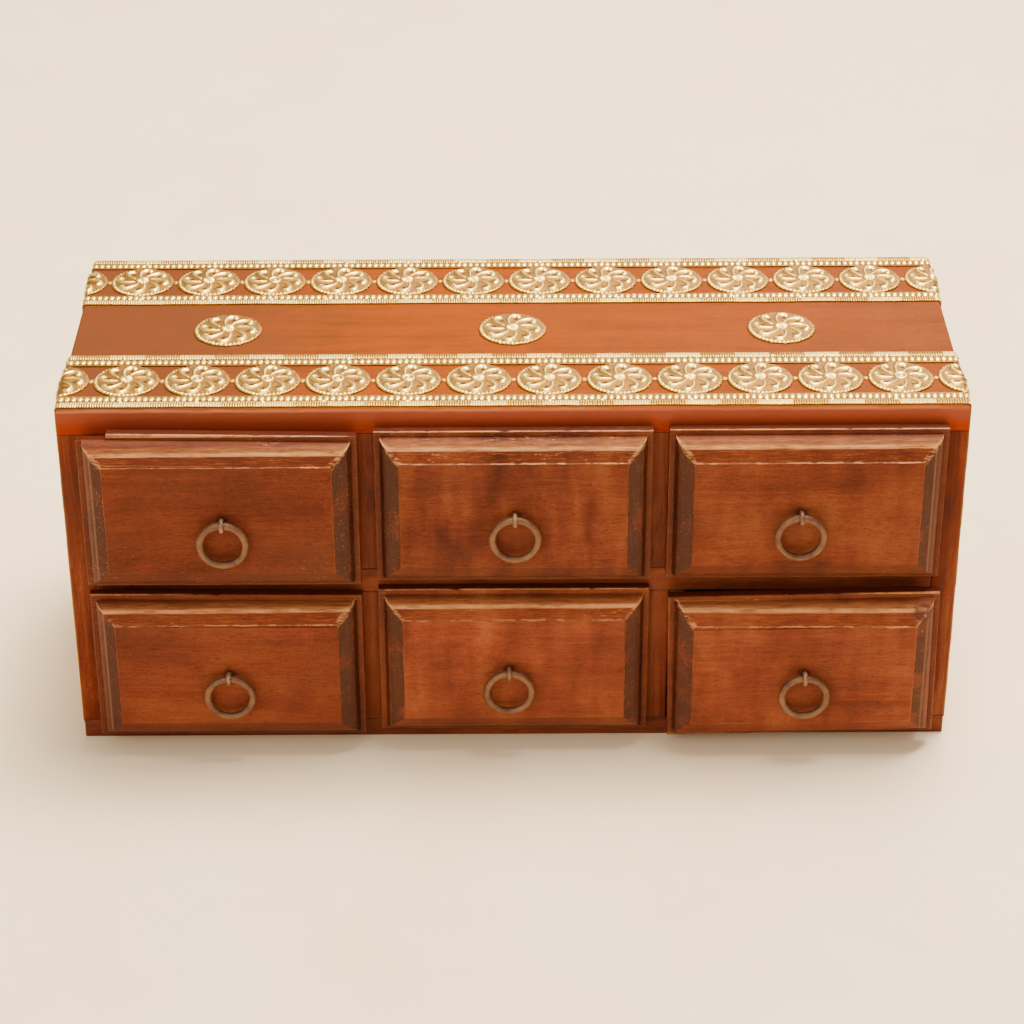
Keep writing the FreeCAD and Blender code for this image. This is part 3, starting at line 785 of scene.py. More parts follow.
@dataclass(frozen=True)
class StampedBrass:
    """Thin embossed brass, polished on its high spots and tarnished in its hollows."""

    name: str
    seed: float = 0.0
    bright: Triple = paint("FFDD6F")
    golden: Triple = paint("AD7927")
    hollow: Triple = paint("7E541E")
    pit: Triple = paint("4B2B10")
    tarnish: Triple = paint("6B431F")

    def material(self) -> bpy.types.Material:
        """Make brass that takes its polish from the relief kept on the mesh.

        Returns:
            The material.
        """
        recipe = Recipe(self.name)
        place = recipe.place((self.seed * 17, 0, 0))
        relief = recipe.attribute("relief")
        cloud = recipe.noise(place, 0.12, 4, 0.6)
        fine = recipe.noise(place, 1.6, 3, 0.6)
        raised = relief + (cloud - 0.5) * 0.2 + (fine - 0.5) * 0.3
        stops = [(0.0, self.pit), (0.14, self.hollow), (0.34, self.golden), (0.66, self.bright)]
        colour = recipe.ramp(raised, stops)
        stain = recipe.rise(cloud, 0.56, 0.74) * recipe.rise(relief, 0.7, 0.2)
        colour = recipe.mix(stain * 0.6, colour, self.tarnish)
        dull = 0.52 - recipe.rise(raised, 0.3, 0.8) * 0.2 + stain * 0.15
        sockets = {"Base Color": colour, "Metallic": 1.0 - stain * 0.4, "Roughness": dull}
        return recipe.finish(sockets, fine * 0.8 + cloud * 0.4, 0.1)


@dataclass(frozen=True)
class AgedMetal:
    """Brown aged brass of the rings and pins."""

    name: str
    seed: float = 0.0
    patina: Triple = paint("4F301F")
    rubbed: Triple = paint("795537")
    dirt: Triple = paint("2C180D")

    def material(self) -> bpy.types.Material:
        """Make a patina that is rubbed in patches and pitted all over.

        Returns:
            The material.
        """
        recipe = Recipe(self.name)
        place = recipe.place((self.seed * 19, 0, 0))
        cloud = recipe.noise(place, 0.22, 4, 0.6)
        pits = recipe.noise(place, 1.9, 4, 0.65)
        colour = recipe.ramp(cloud + (pits - 0.5) * 0.4, [(0.3, self.patina), (0.66, self.rubbed)])
        dirty = recipe.rise(pits, 0.56, 0.7)
        colour = recipe.mix(dirty * 0.6, colour, self.dirt)
        dull = 0.48 + (pits - 0.5) * 0.3
        sockets = {"Base Color": colour, "Metallic": 0.5 - dirty * 0.3, "Roughness": dull}
        return recipe.finish(sockets, pits * 0.7 + cloud * 0.6, 0.12)


# ---- meshes ----


def to_piece(bm: bmesh.types.BMesh, name: str, body: str, material: bpy.types.Material,
             nodes: Iterable[str] = ()) -> bpy.types.Object:
    """Turn a finished bmesh into a piece of the chest.

    Args:
        bm: The mesh, which is freed.
        name: The piece's name.
        body: The body it moves with.
        material: Its finish.
        nodes: The nodes it stands for.

    Returns:
        The piece, with its object at the origin.
    """
    bmesh.ops.scale(bm, vec=(MM,) * 3, verts=bm.verts)
    mesh = bpy.data.meshes.new(name)
    bm.to_mesh(mesh)
    bm.free()
    mesh.materials.append(material)
    piece = bpy.data.objects.new(name, mesh)
    bpy.context.collection.objects.link(piece)
    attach(piece, body)
    if nodes:
        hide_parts(*nodes)
    log.info("%s: %d faces on %s", name, len(mesh.polygons), body)
    return piece


def smooth_by_angle(bm: bmesh.types.BMesh, degrees: float) -> None:
    """Shade smoothly over edges flatter than an angle.

    Args:
        bm: The mesh.
        degrees: The angle.
    """
    limit = math.radians(degrees)
    for face in bm.faces:
        face.smooth = True
    for edge in bm.edges:
        edge.smooth = len(edge.link_faces) == 2 and edge.calc_face_angle(0) < limit


def node_copy(node: bpy.types.Object) -> bmesh.types.BMesh:
    """Copy a node of the frame, merged, in millimetres and with its flat faces whole.

    Args:
        node: The node's object.

    Returns:
        The copy.
    """
    bm = bmesh.new()
    bm.from_mesh(node.data)
    bmesh.ops.scale(bm, vec=(1 / MM,) * 3, verts=bm.verts)
    bmesh.ops.remove_doubles(bm, verts=bm.verts, dist=MM)
    bmesh.ops.dissolve_limit(bm, angle_limit=math.radians(1), verts=bm.verts, edges=bm.edges)
    return bm


def soften(bm: bmesh.types.BMesh, width: float) -> None:
    """Round the arrises of a board and mark them in the corner attribute "arris".

    Args:
        bm: The board.
        width: How wide the rounding is.
    """
    limit = math.radians(40)
    sharp = [e for e in bm.edges if len(e.link_faces) == 2 and e.calc_face_angle(0) > limit]
    made = bmesh.ops.bevel(bm, geom=sharp, offset=width, offset_type="OFFSET", affect="EDGES", segments=3,
                           profile=0.5, material=-1, clamp_overlap=True)
    layer = bm.loops.layers.float.new("arris")
    for face in made["faces"]:
        for loop in face.loops:
            loop[layer] = 1.0


def only(parts: Iterable, kind: type) -> list:
    """The parts that are of one kind, such as edges."""
    return [part for part in parts if isinstance(part, kind)]


def sliced(bm: bmesh.types.BMesh, point: Sequence[float], way: Sequence[float], clear: bool = False) -> list:
    """Cut every face with a plane.

    Args:
        bm: The mesh.
        point: Any point of the plane.
        way: Where the plane faces.
        clear: Whether what lies that way is taken off.

    Returns:
        The edges of the cut.
    """
    geometry = [*bm.verts, *bm.edges, *bm.faces]
    cut = bmesh.ops.bisect_plane(bm, geom=geometry, plane_co=point, plane_no=way, clear_outer=clear)
    return only(cut["geom_cut"], bmesh.types.BMEdge)


def dice(bm: bmesh.types.BMesh, axis: int, low: float, high: float, step: float) -> None:
    """Cut every face across one axis at even steps.

    Args:
        bm: The mesh.
        axis: 0 for X, 1 for Y or 2 for Z.
        low: Where it starts.
        high: Where it ends.
        step: How far the cuts are apart.
    """
    way = Matrix.Identity(3)[axis]
    for index in range(1, int((high - low) / step)):
        sliced(bm, way * (low + index * step), way)


def turned(bm: bmesh.types.BMesh, verts: Iterable, angle: float, axis: str) -> None:
    """Turn some vertices about an axis through the origin."""
    bmesh.ops.rotate(bm, cent=(0, 0, 0), matrix=Matrix.Rotation(angle, 3, axis), verts=verts)


def swept(bm: bmesh.types.BMesh, edges: list, turn: Optional[tuple], run: Optional[Triple],
          steps: int) -> list:
    """Carry a closed section on, round an axis or straight ahead.

    Args:
        bm: The mesh.
        edges: The section's edges.
        turn: Centre, axis and angle of a bend, or None.
        run: The way of a straight run, or None.
        steps: How many steps it takes.

    Returns:
        The edges of the last section.
    """
    centre, axis, angle = turn or ((0, 0, 0), (1, 0, 0), 0.0)
    shift = Vector(run or (0, 0, 0)) / steps
    ends = {v for e in edges for v in e.verts}
    made = bmesh.ops.spin(bm, geom=[*edges, *ends], cent=centre, axis=axis, angle=angle, dvec=shift,
                          steps=steps, use_merge=False, use_duplicate=False)
    return only(made["geom_last"], bmesh.types.BMEdge)


# ---- the case ----


@dataclass
class Case:
    """The boards of the chest."""

    nodes: dict
    arris: float = 0.4
    ruddy: dict = field(default_factory=lambda: dict(
        dark=paint("401608"), middle=paint("6E311D"), light=paint("844224"), haze=0.15))

    def finish_of(self, name: str) -> SatinWood:
        """Choose the wood of one board.

        Args:
            name: The board's node.

        Returns:
            Its finish.
        """
        if name == "top_board":
            return TopWood("wood_top_board", seed=2.2, dark=paint("62310F"), middle=paint("853A05"),
                           light=paint("923E06"), grey=paint("69391C"), haze=0.3, streak=0.7, gloss=0.015)
        looks = {}
        if name in ("left_side", "right_side"):
            looks = dict(grain=Grain.UPRIGHT, middle=paint("672509"), wear=0.4)
        elif name.endswith("divider"):
            looks = dict(grain=Grain.UPRIGHT, wear=0.25, **self.ruddy)
        elif name == "shelf":
            looks = dict(wear=0.3, **self.ruddy)
        return SatinWood(f"wood_{name}", seed=1.0 + sorted(self.nodes).index(name) * 0.37, **looks)

    def build(self) -> None:
        """Make every board with softened arrises."""
        names = [n for n in self.nodes if n.endswith(("board", "shelf", "divider", "back_panel"))]
        for name in sorted([*names, "left_side", "right_side"]):
            bm = node_copy(self.nodes[name])
            soften(bm, self.arris)
            smooth_by_angle(bm, 35)
            to_piece(bm, f"worn_{name}", "case", self.finish_of(name).board(), [name])


# ---- the brass ----


class Hub(Enum):
    """How the middle of a rosette is struck."""

    DOME = "dome"
    RINGED = "ringed"


@dataclass
class Rosette:
    """A stamped flower of eight swirling strokes inside a roped border.

    Attributes:
        pit: Place and half width of the small pit beside each stroke.
        rings: Radii at which the stamped face has corners.
        crest: One stroke's ridge as turn in degrees, radius, half width and height.
    """

    radius: float = 11.2
    border: float = 9.8
    sides: int = 184
    strokes: int = 8
    hub: float = 2.3
    hub_ring: float = 1.85
    hub_ring_half: float = 0.42
    knob: float = 0.6
    dots: int = 11
    dome: float = 0.7
    lumps: int = 23
    pit: Triple = (6.3, -1.15, 0.95)
    pit_floor: float = 0.18
    rope: float = 10.5
    rope_half: float = 0.72
    deepest: float = 235.0
    sheet: float = 0.14
    ragged: float = 0.93
    made: dict = field(default_factory=dict)
    rings: tuple = (0.5, 0.95, 1.35, 1.7, 2.05, 2.35, 2.6, 3.0, 3.5, 4.1, 4.7, 5.3, 5.9, 6.5, 7.0, 7.45, 7.9,
                    8.3, 8.7, 9.1, 9.5, 9.85, 10.15, 10.45, 10.75, 11.0)
    crest: tuple = ((20, 3.2, 0.34, 0.35), (15, 4.6, 0.42, 0.55), (10, 6.2, 0.52, 0.7), (3.5, 7.7, 0.68, 0.8),
                    (-4, 8.65, 0.88, 0.82), (-11, 8.8, 1.0, 0.76), (-17, 8.1, 0.88, 0.56))

    def __post_init__(self) -> None:
        """Work out one stroke's ridge as points with a half width and a height."""
        self.ridge = []
        for here, after in zip(self.crest, self.crest[1:]):
            for part in (0.0, 0.25, 0.5, 0.75):
                turn, out, half, height = [p + (q - p) * part for p, q in zip(here, after)]
                angle = math.radians(turn)
                self.ridge.append((out * math.cos(angle), out * math.sin(angle), half, height))

    def height(self, x: float, y: float, hub: Hub) -> float:
        """How far the stamped face stands over the sheet.

        Args:
            x: To the right of the middle.
            y: Behind the middle.
            hub: How its middle is struck.

        Returns:
            The height in millimetres, from about 0 to 1.
        """
        r, turn = math.hypot(x, y), math.atan2(y, x)
        if r > self.border:
            return self.roped(x, y)
        if r < self.hub:
            return self.boss(r, turn, hub)
        best = sunk = 0.0
        step = 2 * math.pi / self.strokes
        for index in range(self.strokes):
            angle = (turn - index * step + math.pi) % (2 * math.pi) - math.pi
            if abs(angle) < 0.75:
                px, py = r * math.cos(angle), r * math.sin(angle)
                for cx, cy, half, height in self.ridge:
                    gap = math.hypot(px - cx, py - cy) / half
                    if gap < 1:
                        best = max(best, height * (1 - gap * gap) ** 0.6)
                pit_x, pit_y, pit_half = self.pit
                sunk = max(sunk, 1 - (math.hypot(px - pit_x, py - pit_y) / pit_half) ** 2)
        ground = max(self.pit_floor - 0.2 * sunk, self.pit_floor * min(1.0, best * 5))
        return ground + best + 0.08 * rough(x * 1.9, y * 1.9, 0)

    def roped(self, x: float, y: float) -> float:
        """Shape the border, a rope whose lumps are struck deeper on one side.

        Args:
            x: To the right of the middle.
            y: Behind the middle.

        Returns:
            The height in millimetres.
        """
        turn = math.atan2(y, x)
        out = math.hypot(x, y) - self.rope
        deep = 0.5 + 0.5 * math.cos(turn - math.radians(self.deepest))
        round_off = max(0.0, 1 - abs(out) / self.rope_half) ** 0.6
        uneven = rough(x, y, 3)
        lump = abs(math.sin(turn * self.lumps + out * 1.6 + uneven * 0.5)) ** 1.5
        return 0.12 + round_off * (0.04 * deep + lump * (0.18 + 0.5 * deep) + uneven * 0.2)

    def boss(self, r: float, turn: float, hub: Hub) -> float:
        """Shape the middle: a dome with a row of dots, or a ring about a small knob.

        Args:
            r: Distance from the middle.
            turn: Angle about it.
            hub: Which of the two it is.

        Returns:
            The height in millimetres.
        """
        if hub is Hub.RINGED:
            ring = math.exp(-((r - self.hub_ring) / self.hub_ring_half) ** 2)
            knob = math.exp(-(r / self.knob) ** 2)
            return 0.22 + 0.52 * ring + 0.5 * knob
        dome = math.sqrt(max(0.0, 1 - (r / (self.hub * 1.06)) ** 2))
        return 0.22 + 0.66 * dome + 0.22 * math.cos(turn * self.dots) * (r / self.hub) ** 2

    def stamped(self, hub: Hub, scale: float = 1.0) -> bpy.types.Mesh:
        """Spin a line to a flat disc about the origin and raise it by its stamp, once for each kind.

        Args:
            hub: How its middle is struck.
            scale: Its size against the rosettes of the bands.

        Returns:
            The mesh, in millimetres.
        """
        if (hub, scale) in self.made:
            return self.made[hub, scale]
        bm = bmesh.new()
        relief = bm.verts.layers.float.new("relief")
        line = [bm.verts.new((r, 0, 1)) for r in (0.0, *self.rings, self.radius)]
        line += [bm.verts.new((self.radius, 0, 0)), bm.verts.new((0, 0, 0))]
        edges = [bm.edges.new(pair) for pair in zip(line, line[1:])]
        bmesh.ops.spin(bm, geom=[*line, *edges], cent=(0, 0, 0), axis=(0, 0, 1), angle=2 * math.pi,
                       steps=self.sides, use_merge=True)
        bmesh.ops.remove_doubles(bm, verts=bm.verts, dist=MERGE)
        for vert in bm.verts:
            if vert.co.z > 0.5:
                at_edge = vert.co.xy.length > self.radius - 0.01
                height = 0.1 if at_edge else self.height(vert.co.x, vert.co.y, hub)
                vert[relief] = clamped((height - 0.02) / 0.8)
                out = vert.co.xy.length / self.radius
                vert.co.z = self.sheet + height + self.dome * (1 - out * out)
                if out > self.ragged:
                    torn = noise.noise(vert.co * 0.8) * 0.3 + noise.noise(vert.co * 2.1) * 0.15
                    vert.co.xy *= 1 + (out - self.ragged) / (1 - self.ragged) * torn / self.radius
        bmesh.ops.scale(bm, vec=(scale, scale, 1), verts=bm.verts)
        bmesh.ops.recalc_face_normals(bm, faces=bm.faces)
        mesh = bpy.data.meshes.new("stamped_rosette")
        bm.to_mesh(mesh)
        bm.free()
        self.made[hub, scale] = mesh
        return mesh


@dataclass
class BrassBand:
    """A pierced band that is folded over the top and down both ends.

    Attributes:
        shift: How far the row of rosettes is moved to the right.
        gap_half: Half the width of the openings between the rails.
        pitch: Distance from one rosette to the next.
        over_corner: How far past the corner a rosette still counts with those of the top.
        foot: Height of its lower ends over the ground.
        samples: Steps of the rails to each pitch.
        ringed: Rosettes with a ringed hub, counted from the middle.
        section: Corners of a rail's section, from its outer edge inwards.
        reeds: Where the reeded strip begins and ends.
        beading: Where the beaded strip begins and ends.
    """

    name: str
    middle_y: float
    shift: float
    seed: int
    half_width: float
    ringed: tuple = ()
    gap_half: float = 10.8
    pitch: float = 23.85
    foot: float = 6.0
    case_half: float = CASE_HALF
    case_top: float = CASE_TOP
    edge_radius: float = TOP_ROUNDING
    samples: int = 112
    ribs: int = 28
    beads: int = 11
    rosette: Rosette = field(default_factory=Rosette)
    reeds: tuple = (0.05, 2.95)
    beading: tuple = (3.3, 6.2)
    bead_line: float = 4.78
    bead_half: tuple = (1.02, 1.25)
    tack_line: float = 3.1
    over_corner: float = 6.0
    section: tuple = (0.0, 0.25, 0.7, 1.4, 2.1, 2.65, 3.05, 3.4, 3.85, 4.3, 4.75, 5.2, 5.65, 6.05, 6.4, 6.8)

    @property
    def reach(self) -> float:
        """Length of the band from its middle to a lower end."""
        return self.case_half + self.case_top - self.foot

    @property
    def rail(self) -> float:
        """Width of the strip along each edge."""
        return self.half_width - self.gap_half

    def fold(self, along: float, across: float, height: float) -> Vector:
        """Where a point of the flat band lies once it is folded over the chest.

        Args:
            along: Distance from the band's middle.
            across: Distance behind its centre line.
            height: Distance over the wood.

        Returns:
            The point in millimetres.
        """
        side = math.copysign(1, along)
        flat = self.case_half - self.edge_radius
        over = abs(along) - flat
        y = self.middle_y + across
        if over <= 0:
            return Vector((along, y, self.case_top + height))
        if over < 2 * self.edge_radius:
            angle = over / (2 * self.edge_radius) * math.pi / 2
            out = self.edge_radius + height
            return Vector((side * (flat + out * math.sin(angle)), y,
                           self.case_top - self.edge_radius + out * math.cos(angle)))
        down = self.case_top - self.edge_radius - (over - 2 * self.edge_radius)
        return Vector((side * (self.case_half + height), y, down))

    def rail_height(self, along: float, out: float, front: bool) -> float:
        """How far a rail stands over the wood.

        Args:
            along: Distance from the middle of the row of rosettes.
            out: Distance from the rail's outer edge, on a rail as wide as the section.
            front: Whether it is the rail nearer the drawers.

        Returns:
            The height in millimetres.
        """
        outside, inside = self.reeds
        if out < outside or out > self.section[-1] - 0.05:
            return 0.4
        if out < inside:
            phase = (along / self.pitch + (0.1 if front else 0.3)) % 1.0
            worn = 0.5 + 0.5 * rough(along * 0.06 + self.seed, 3.1, 2.0 if front else 7.0)
            faint = 1.0 if phase < 0.5 else 0.15 + 0.5 * worn
            rib = 0.5 + 0.5 * math.cos(2 * math.pi * phase * self.ribs)
            window = min(1.0, (out - outside) / 0.4, (inside - out) / 0.3)
            return 0.36 + (0.56 * rib * faint + 0.34 * (1 - faint)) * max(0.0, window)
        if out < self.beading[0]:
            return 0.36
        if out < self.beading[1]:
            step = self.pitch / self.beads
            index = math.floor(along / step + 0.5)
            slip = rough(index * 1.7, self.seed, 1)
            long, wide = self.bead_half
            gap = math.hypot((along - index * step) / (long + slip * 0.15),
                             (out - self.bead_line) / (wide + slip * 0.2))
            return 0.38 + (0.54 + slip * 0.15) * math.sqrt(max(0.0, 1 - gap * gap))
        return 0.46

    def make_rail(self, front: bool) -> bmesh.types.BMesh:
        """Make one long edge of the band, reeded outside and beaded inside.

        Args:
            front: Whether it is the rail nearer the drawers.

        Returns:
            The rail, folded over the chest.
        """
        bm = bmesh.new()
        relief = bm.verts.layers.float.new("relief")
        sign = -1 if front else 1
        outline = [(out * self.rail / self.section[-1], 1.0) for out in self.section]
        outline += [(self.rail, 0.0), (0.0, 0.0), (0.0, 1.0)]
        rows = len(outline) - 1
        steps = round(2 * self.reach / self.pitch * self.samples)
        bmesh.ops.create_grid(bm, x_segments=steps, y_segments=rows, size=1)
        for vert in bm.verts:
            out, top = outline[round((vert.co.y + 1) / 2 * rows)]
            vert.co = (vert.co.x * self.reach, sign * (self.half_width - out), top)
        seam = [v for v in bm.verts if v.is_boundary]
        bmesh.ops.remove_doubles(bm, verts=seam, dist=MERGE)
        bmesh.ops.holes_fill(bm, edges=[e for e in bm.edges if e.is_boundary])
        for vert in bm.verts:
            along, across, top = vert.co
            out = (self.half_width - abs(across)) * self.section[-1] / self.rail
            wave = rough(along * 0.05, self.seed + sign, 0) * 0.35
            wave += rough(along * 0.4, self.seed - sign, 3) * 0.12
            height = 0.0
            if top > 0.5:
                height = self.rail_height(along - self.shift, out, front)
                vert[relief] = clamped((height - 0.33) / 0.5)
            across += sign * wave * max(0.0, 1 - out / 3)
            vert.co = self.fold(along, across, height)
        return bm

    def add_rosette(self, bm: bmesh.types.BMesh, along: float, hub: Hub) -> None:
        """Add one folded rosette, cut off where the band ends.

        Args:
            bm: The mesh that it is added to.
            along: Distance of its middle from the band's middle.
            hub: How its middle is struck.
        """
        one = bmesh.new()
        one.from_mesh(self.rosette.stamped(hub))
        bmesh.ops.translate(one, vec=(along, 0, 0), verts=one.verts)
        if abs(along) + self.rosette.radius > self.reach:
            side = math.copysign(1, along)
            cut = sliced(one, (side * self.reach, 0, 0), (side, 0, 0), clear=True)
            bmesh.ops.holes_fill(one, edges=cut)
        for vert in one.verts:
            vert.co = self.fold(*vert.co)
        folded = bpy.data.meshes.new("folded_rosette")
        one.to_mesh(folded)
        one.free()
        bm.from_mesh(folded)
        bpy.data.meshes.remove(folded)

    def build(self) -> None:
        """Make the rails, the rosettes, the links between them and the tacks."""
        finish = StampedBrass(f"brass_{self.name}", seed=self.seed).material()
        for front, part in ((True, "front_rail"), (False, "rear_rail")):
            self.add_piece(self.make_rail(front), part, finish, 70, [f"{self.name}_brass_band"])
        count = int((self.reach + self.rosette.radius * 0.6) / self.pitch + 0.5)
        places = [self.shift + (index + 0.5) * self.pitch for index in range(-count, count)]
        top_end = self.case_half + self.over_corner
        groups = {"left_end": [p for p in places if p < -top_end],
                  "top": [p for p in places if abs(p) <= top_end],
                  "right_end": [p for p in places if p > top_end]}
        for part, group in groups.items():
            bm = bmesh.new()
            for along in group:
                index = math.floor((along - self.shift) / self.pitch)
                self.add_rosette(bm, along, Hub.RINGED if index in self.ringed else Hub.DOME)
            self.add_piece(bm, f"{part}_rosettes", finish, 75, [f"{self.name}_brass_band"])
        self.add_piece(self.make_small_work(places), "links_and_tacks", finish, 70)

    def add_piece(self, bm: bmesh.types.BMesh, part: str, finish: bpy.types.Material, degrees: float,
                  nodes: Iterable[str] = ()) -> None:
        """Turn a mesh into a piece of the band.

        Args:
            bm: The mesh.
            part: What it is.
            finish: Its brass.
            degrees: The angle up to which it is shaded smoothly.
            nodes: The nodes it stands for.
        """
        bmesh.ops.recalc_face_normals(bm, faces=bm.faces)
        smooth_by_angle(bm, degrees)
        to_piece(bm, f"{self.name}_{part}", "case", finish, nodes)

    def spots(self, places: Sequence[float]) -> list[tuple[float, float, float, float]]:
        """Find the places of the link beads between rosettes and of the tacks on the rails.

        Args:
            places: Where along the band the rosettes are.

        Returns:
            Each one's distance along and across the band, its radius, and its height as a share of that.
        """
        found = []
        for place in places:
            link = place + self.pitch / 2
            if abs(link) < self.reach - 1:
                found.append((link, rough(link, 1, self.seed) * 0.5, 1.3, 0.55))
            for sign in (-1, 1):
                tack = place + rough(place * 0.9, sign * 5, self.seed) * self.pitch * 0.45
                across = sign * (self.half_width - self.tack_line - rough(place, sign, 9) * 0.8)
                if abs(tack) < self.reach - 2:
                    found.append((tack, across, 1.2, 1.1))
        return found

    def make_small_work(self, places: Sequence[float]) -> bmesh.types.BMesh:
        """Make the link beads and the tack heads.

        Args:
            places: Where along the band the rosettes are.

        Returns:
            All of them in one mesh.
        """
        bm = bmesh.new()
        relief = bm.verts.layers.float.new("relief")
        for along, across, radius, height in self.spots(places):
            made = bmesh.ops.create_uvsphere(bm, u_segments=12, v_segments=8, radius=radius)
            for vert in made["verts"]:
                x, y, z = vert.co
                wide = 1 + rough(x, y, along) * 0.3
                top = max(0.0, z / radius)
                vert[relief] = 0.12 + 0.6 * top * height
                vert.co = self.fold(along + x * wide, across + y * wide, top * height)
        return bm


@dataclass
class Medallion:
    """A single stamped rosette on the top board."""

    name: str
    place: Triple
    seed: int
    scale: float = 1.058
    rosette: Rosette = field(default_factory=Rosette)

    def build(self) -> None:
        """Stamp it and lay it on the wood."""
        bm = bmesh.new()
        bm.from_mesh(self.rosette.stamped(Hub.DOME, self.scale))
        bmesh.ops.translate(bm, vec=self.place, verts=bm.verts)
        smooth_by_angle(bm, 75)
        finish = StampedBrass(f"brass_{self.name}", seed=self.seed).material()
        to_piece(bm, f"stamped_{self.name}", "case", finish, [self.name])


# ---- the drawers ----


@dataclass
class Drawer:
    """A drawer with its moulded front, its plain box, and its ring on a split pin.

    Attributes:
        face: The middle of its opening's foot, level with the back of the lip.
        tilt: Degrees that the front is turned.
        splinter: Length of the upper edge that is splintered off, from its left end.
        rake: How much higher the upper edge is at its left end than at its middle.
        lift: How much the upper edge is raised.
        pull_shift: How far the pull sits to the right of the front's middle.
        foot: Lower edge of the front over the foot of the opening.
        head: Upper edge of the front over the foot of the opening.
        lip: Thickness of the lip.
        lip_face: Width of its flat face.
        ovolo: Width and rise of the round moulding.
        bevel: Width and rise of the slope inside it.
        step: Rise of the panel's edge.
        corner: Rounding of the front's outer edge.
        grid: Distance between the cuts that let the front wear unevenly.
        chip: Depth of the splintered part.
        plug: Size of the block behind the lip.
        eye_reach: Distance of the eye from the lip's back.
        leg: Height of a leg of the pin over its middle.
        strip: Half width and half thickness of the wire that the pin is bent from.
        leg_bend: Radius at which the legs are bent apart.
        leg_end: Length of the legs beyond that bend.
    """

    name: str
    face: Triple
    finish: MouldedWood
    nodes: dict
    tilt: float = 0.0
    splinter: float = 0.0
    rake: float = 0.0
    lift: float = 0.0
    pull_shift: float = 0.0
    half_width: float = FRONT_HALF
    foot: float = FRONT_FOOT
    head: float = FRONT_HEAD
    lip: float = LIP
    lip_face: float = LIP_FACE
    ovolo: tuple = OVOLO
    bevel: tuple = BEVEL
    step: float = 0.4
    corner: float = 0.3
    grid: float = 1.5
    chip: float = 1.25
    plug: Triple = (79.33, 5.0, 48.95)
    plug_foot: float = 3.3
    eye_reach: float = 12.65
    eye_radius: float = 2.05
    leg: float = 0.65
    strip: tuple = (0.75, 0.5)
    leg_bend: float = 1.1
    leg_end: float = 2.9
    ring_radius: float = 7.7
    wire: float = 1.25

    @property
    def aside(self) -> float:
        """How far the front sits to the right of its drawer."""
        return self.finish.aside

    @property
    def half_high(self) -> float:
        """Half the height of the front."""
        return (self.head - self.foot) / 2

    @property
    def middle(self) -> Vector:
        """Middle of the front, at its lip's back."""
        return Vector(self.face) + Vector((0, 0, (self.foot + self.head) / 2))

    @property
    def eye(self) -> Vector:
        """Middle of the pin's eye."""
        return self.middle + Vector((self.pull_shift, -self.eye_reach, 0))

    def profile(self) -> list[tuple[float, float]]:
        """Work out the moulding from the lip inwards: an ovolo, a slope and a small step.

        Returns:
            The width and the rise of each of its facets.
        """
        width, rise = self.ovolo
        radius = (width * width + rise * rise) / (2 * width)
        sweep = math.asin(rise / radius)
        turns = [sweep * index / 8 for index in range(9)]
        curve = [(radius * (1 - math.cos(turn)), radius * math.sin(turn)) for turn in turns]
        facets = [(there[0] - here[0], there[1] - here[1]) for here, there in zip(curve, curve[1:])]
        facets += [(self.bevel[0] / 4, self.bevel[1] / 4)] * 4
        return [*facets, (0.06, self.step * 0.7), (0.14, self.step * 0.3)]

    def make_front(self) -> bmesh.types.BMesh:
        """Make the lipped front with its mitred moulding, chipped and a little uneven.

        Returns:
            The front with the block behind it.
        """
        bm = bmesh.new()
        upright = Matrix.Rotation(math.pi / 2, 4, "X")
        bmesh.ops.create_grid(bm, x_segments=1, y_segments=1, size=0.5, matrix=upright)
        bmesh.ops.scale(bm, vec=(2 * self.half_width, 1, 2 * self.half_high), verts=bm.verts)
        slab = bmesh.ops.extrude_face_region(bm, geom=list(bm.faces), use_keep_orig=True)["geom"]
        bmesh.ops.translate(bm, vec=(0, -self.lip, 0), verts=only(slab, bmesh.types.BMVert))
        bmesh.ops.recalc_face_normals(bm, faces=bm.faces)
        panel = only(slab, bmesh.types.BMFace)
        outer = list(panel[0].edges)
        for across, forward in [(self.lip_face, 0), *self.profile()]:
            bmesh.ops.inset_region(bm, faces=panel, thickness=across, depth=forward, use_even_offset=True)
        self.skew(bm)
        bmesh.ops.bevel(bm, geom=outer, offset=self.corner, offset_type="OFFSET", affect="EDGES", segments=2,
                        profile=0.5, material=-1)
        dice(bm, 0, self.aside - self.half_width, self.aside + self.half_width, self.grid)
        dice(bm, 2, -self.half_high, self.half_high, self.grid)
        if self.splinter:
            for past in (0, 0.3):
                sliced(bm, (self.splinter - self.half_width + past, 0, 0), (1, 0, 0))
        self.weather(bm)
        plug = bmesh.ops.create_cube(bm, size=1)["verts"]
        bmesh.ops.scale(bm, vec=self.plug, verts=plug)
        rise = self.plug_foot + self.plug[2] / 2 - (self.foot + self.head) / 2
        bmesh.ops.translate(bm, vec=(0, self.plug[1] / 2, rise), verts=plug)
        turned(bm, [v for v in bm.verts if v.co.y <= 1e-4], -math.radians(self.tilt), "Y")
        bmesh.ops.translate(bm, vec=self.middle, verts=bm.verts)
        return bm

    def skew(self, bm: bmesh.types.BMesh) -> None:
        """Widen the upper slope, and raise or slope the upper edge, as hand-made fronts have it.

        Args:
            bm: The front about its middle.
        """
        ridge = self.lip_face + self.ovolo[0]
        for vert in bm.verts:
            x, _, z = vert.co
            vert.co.x += self.aside
            if z > 0:
                slope = clamped((self.half_high - z - ridge) / self.bevel[0])
                vert.co.z += self.lift - self.rake * x / self.half_width - self.finish.deepen * slope

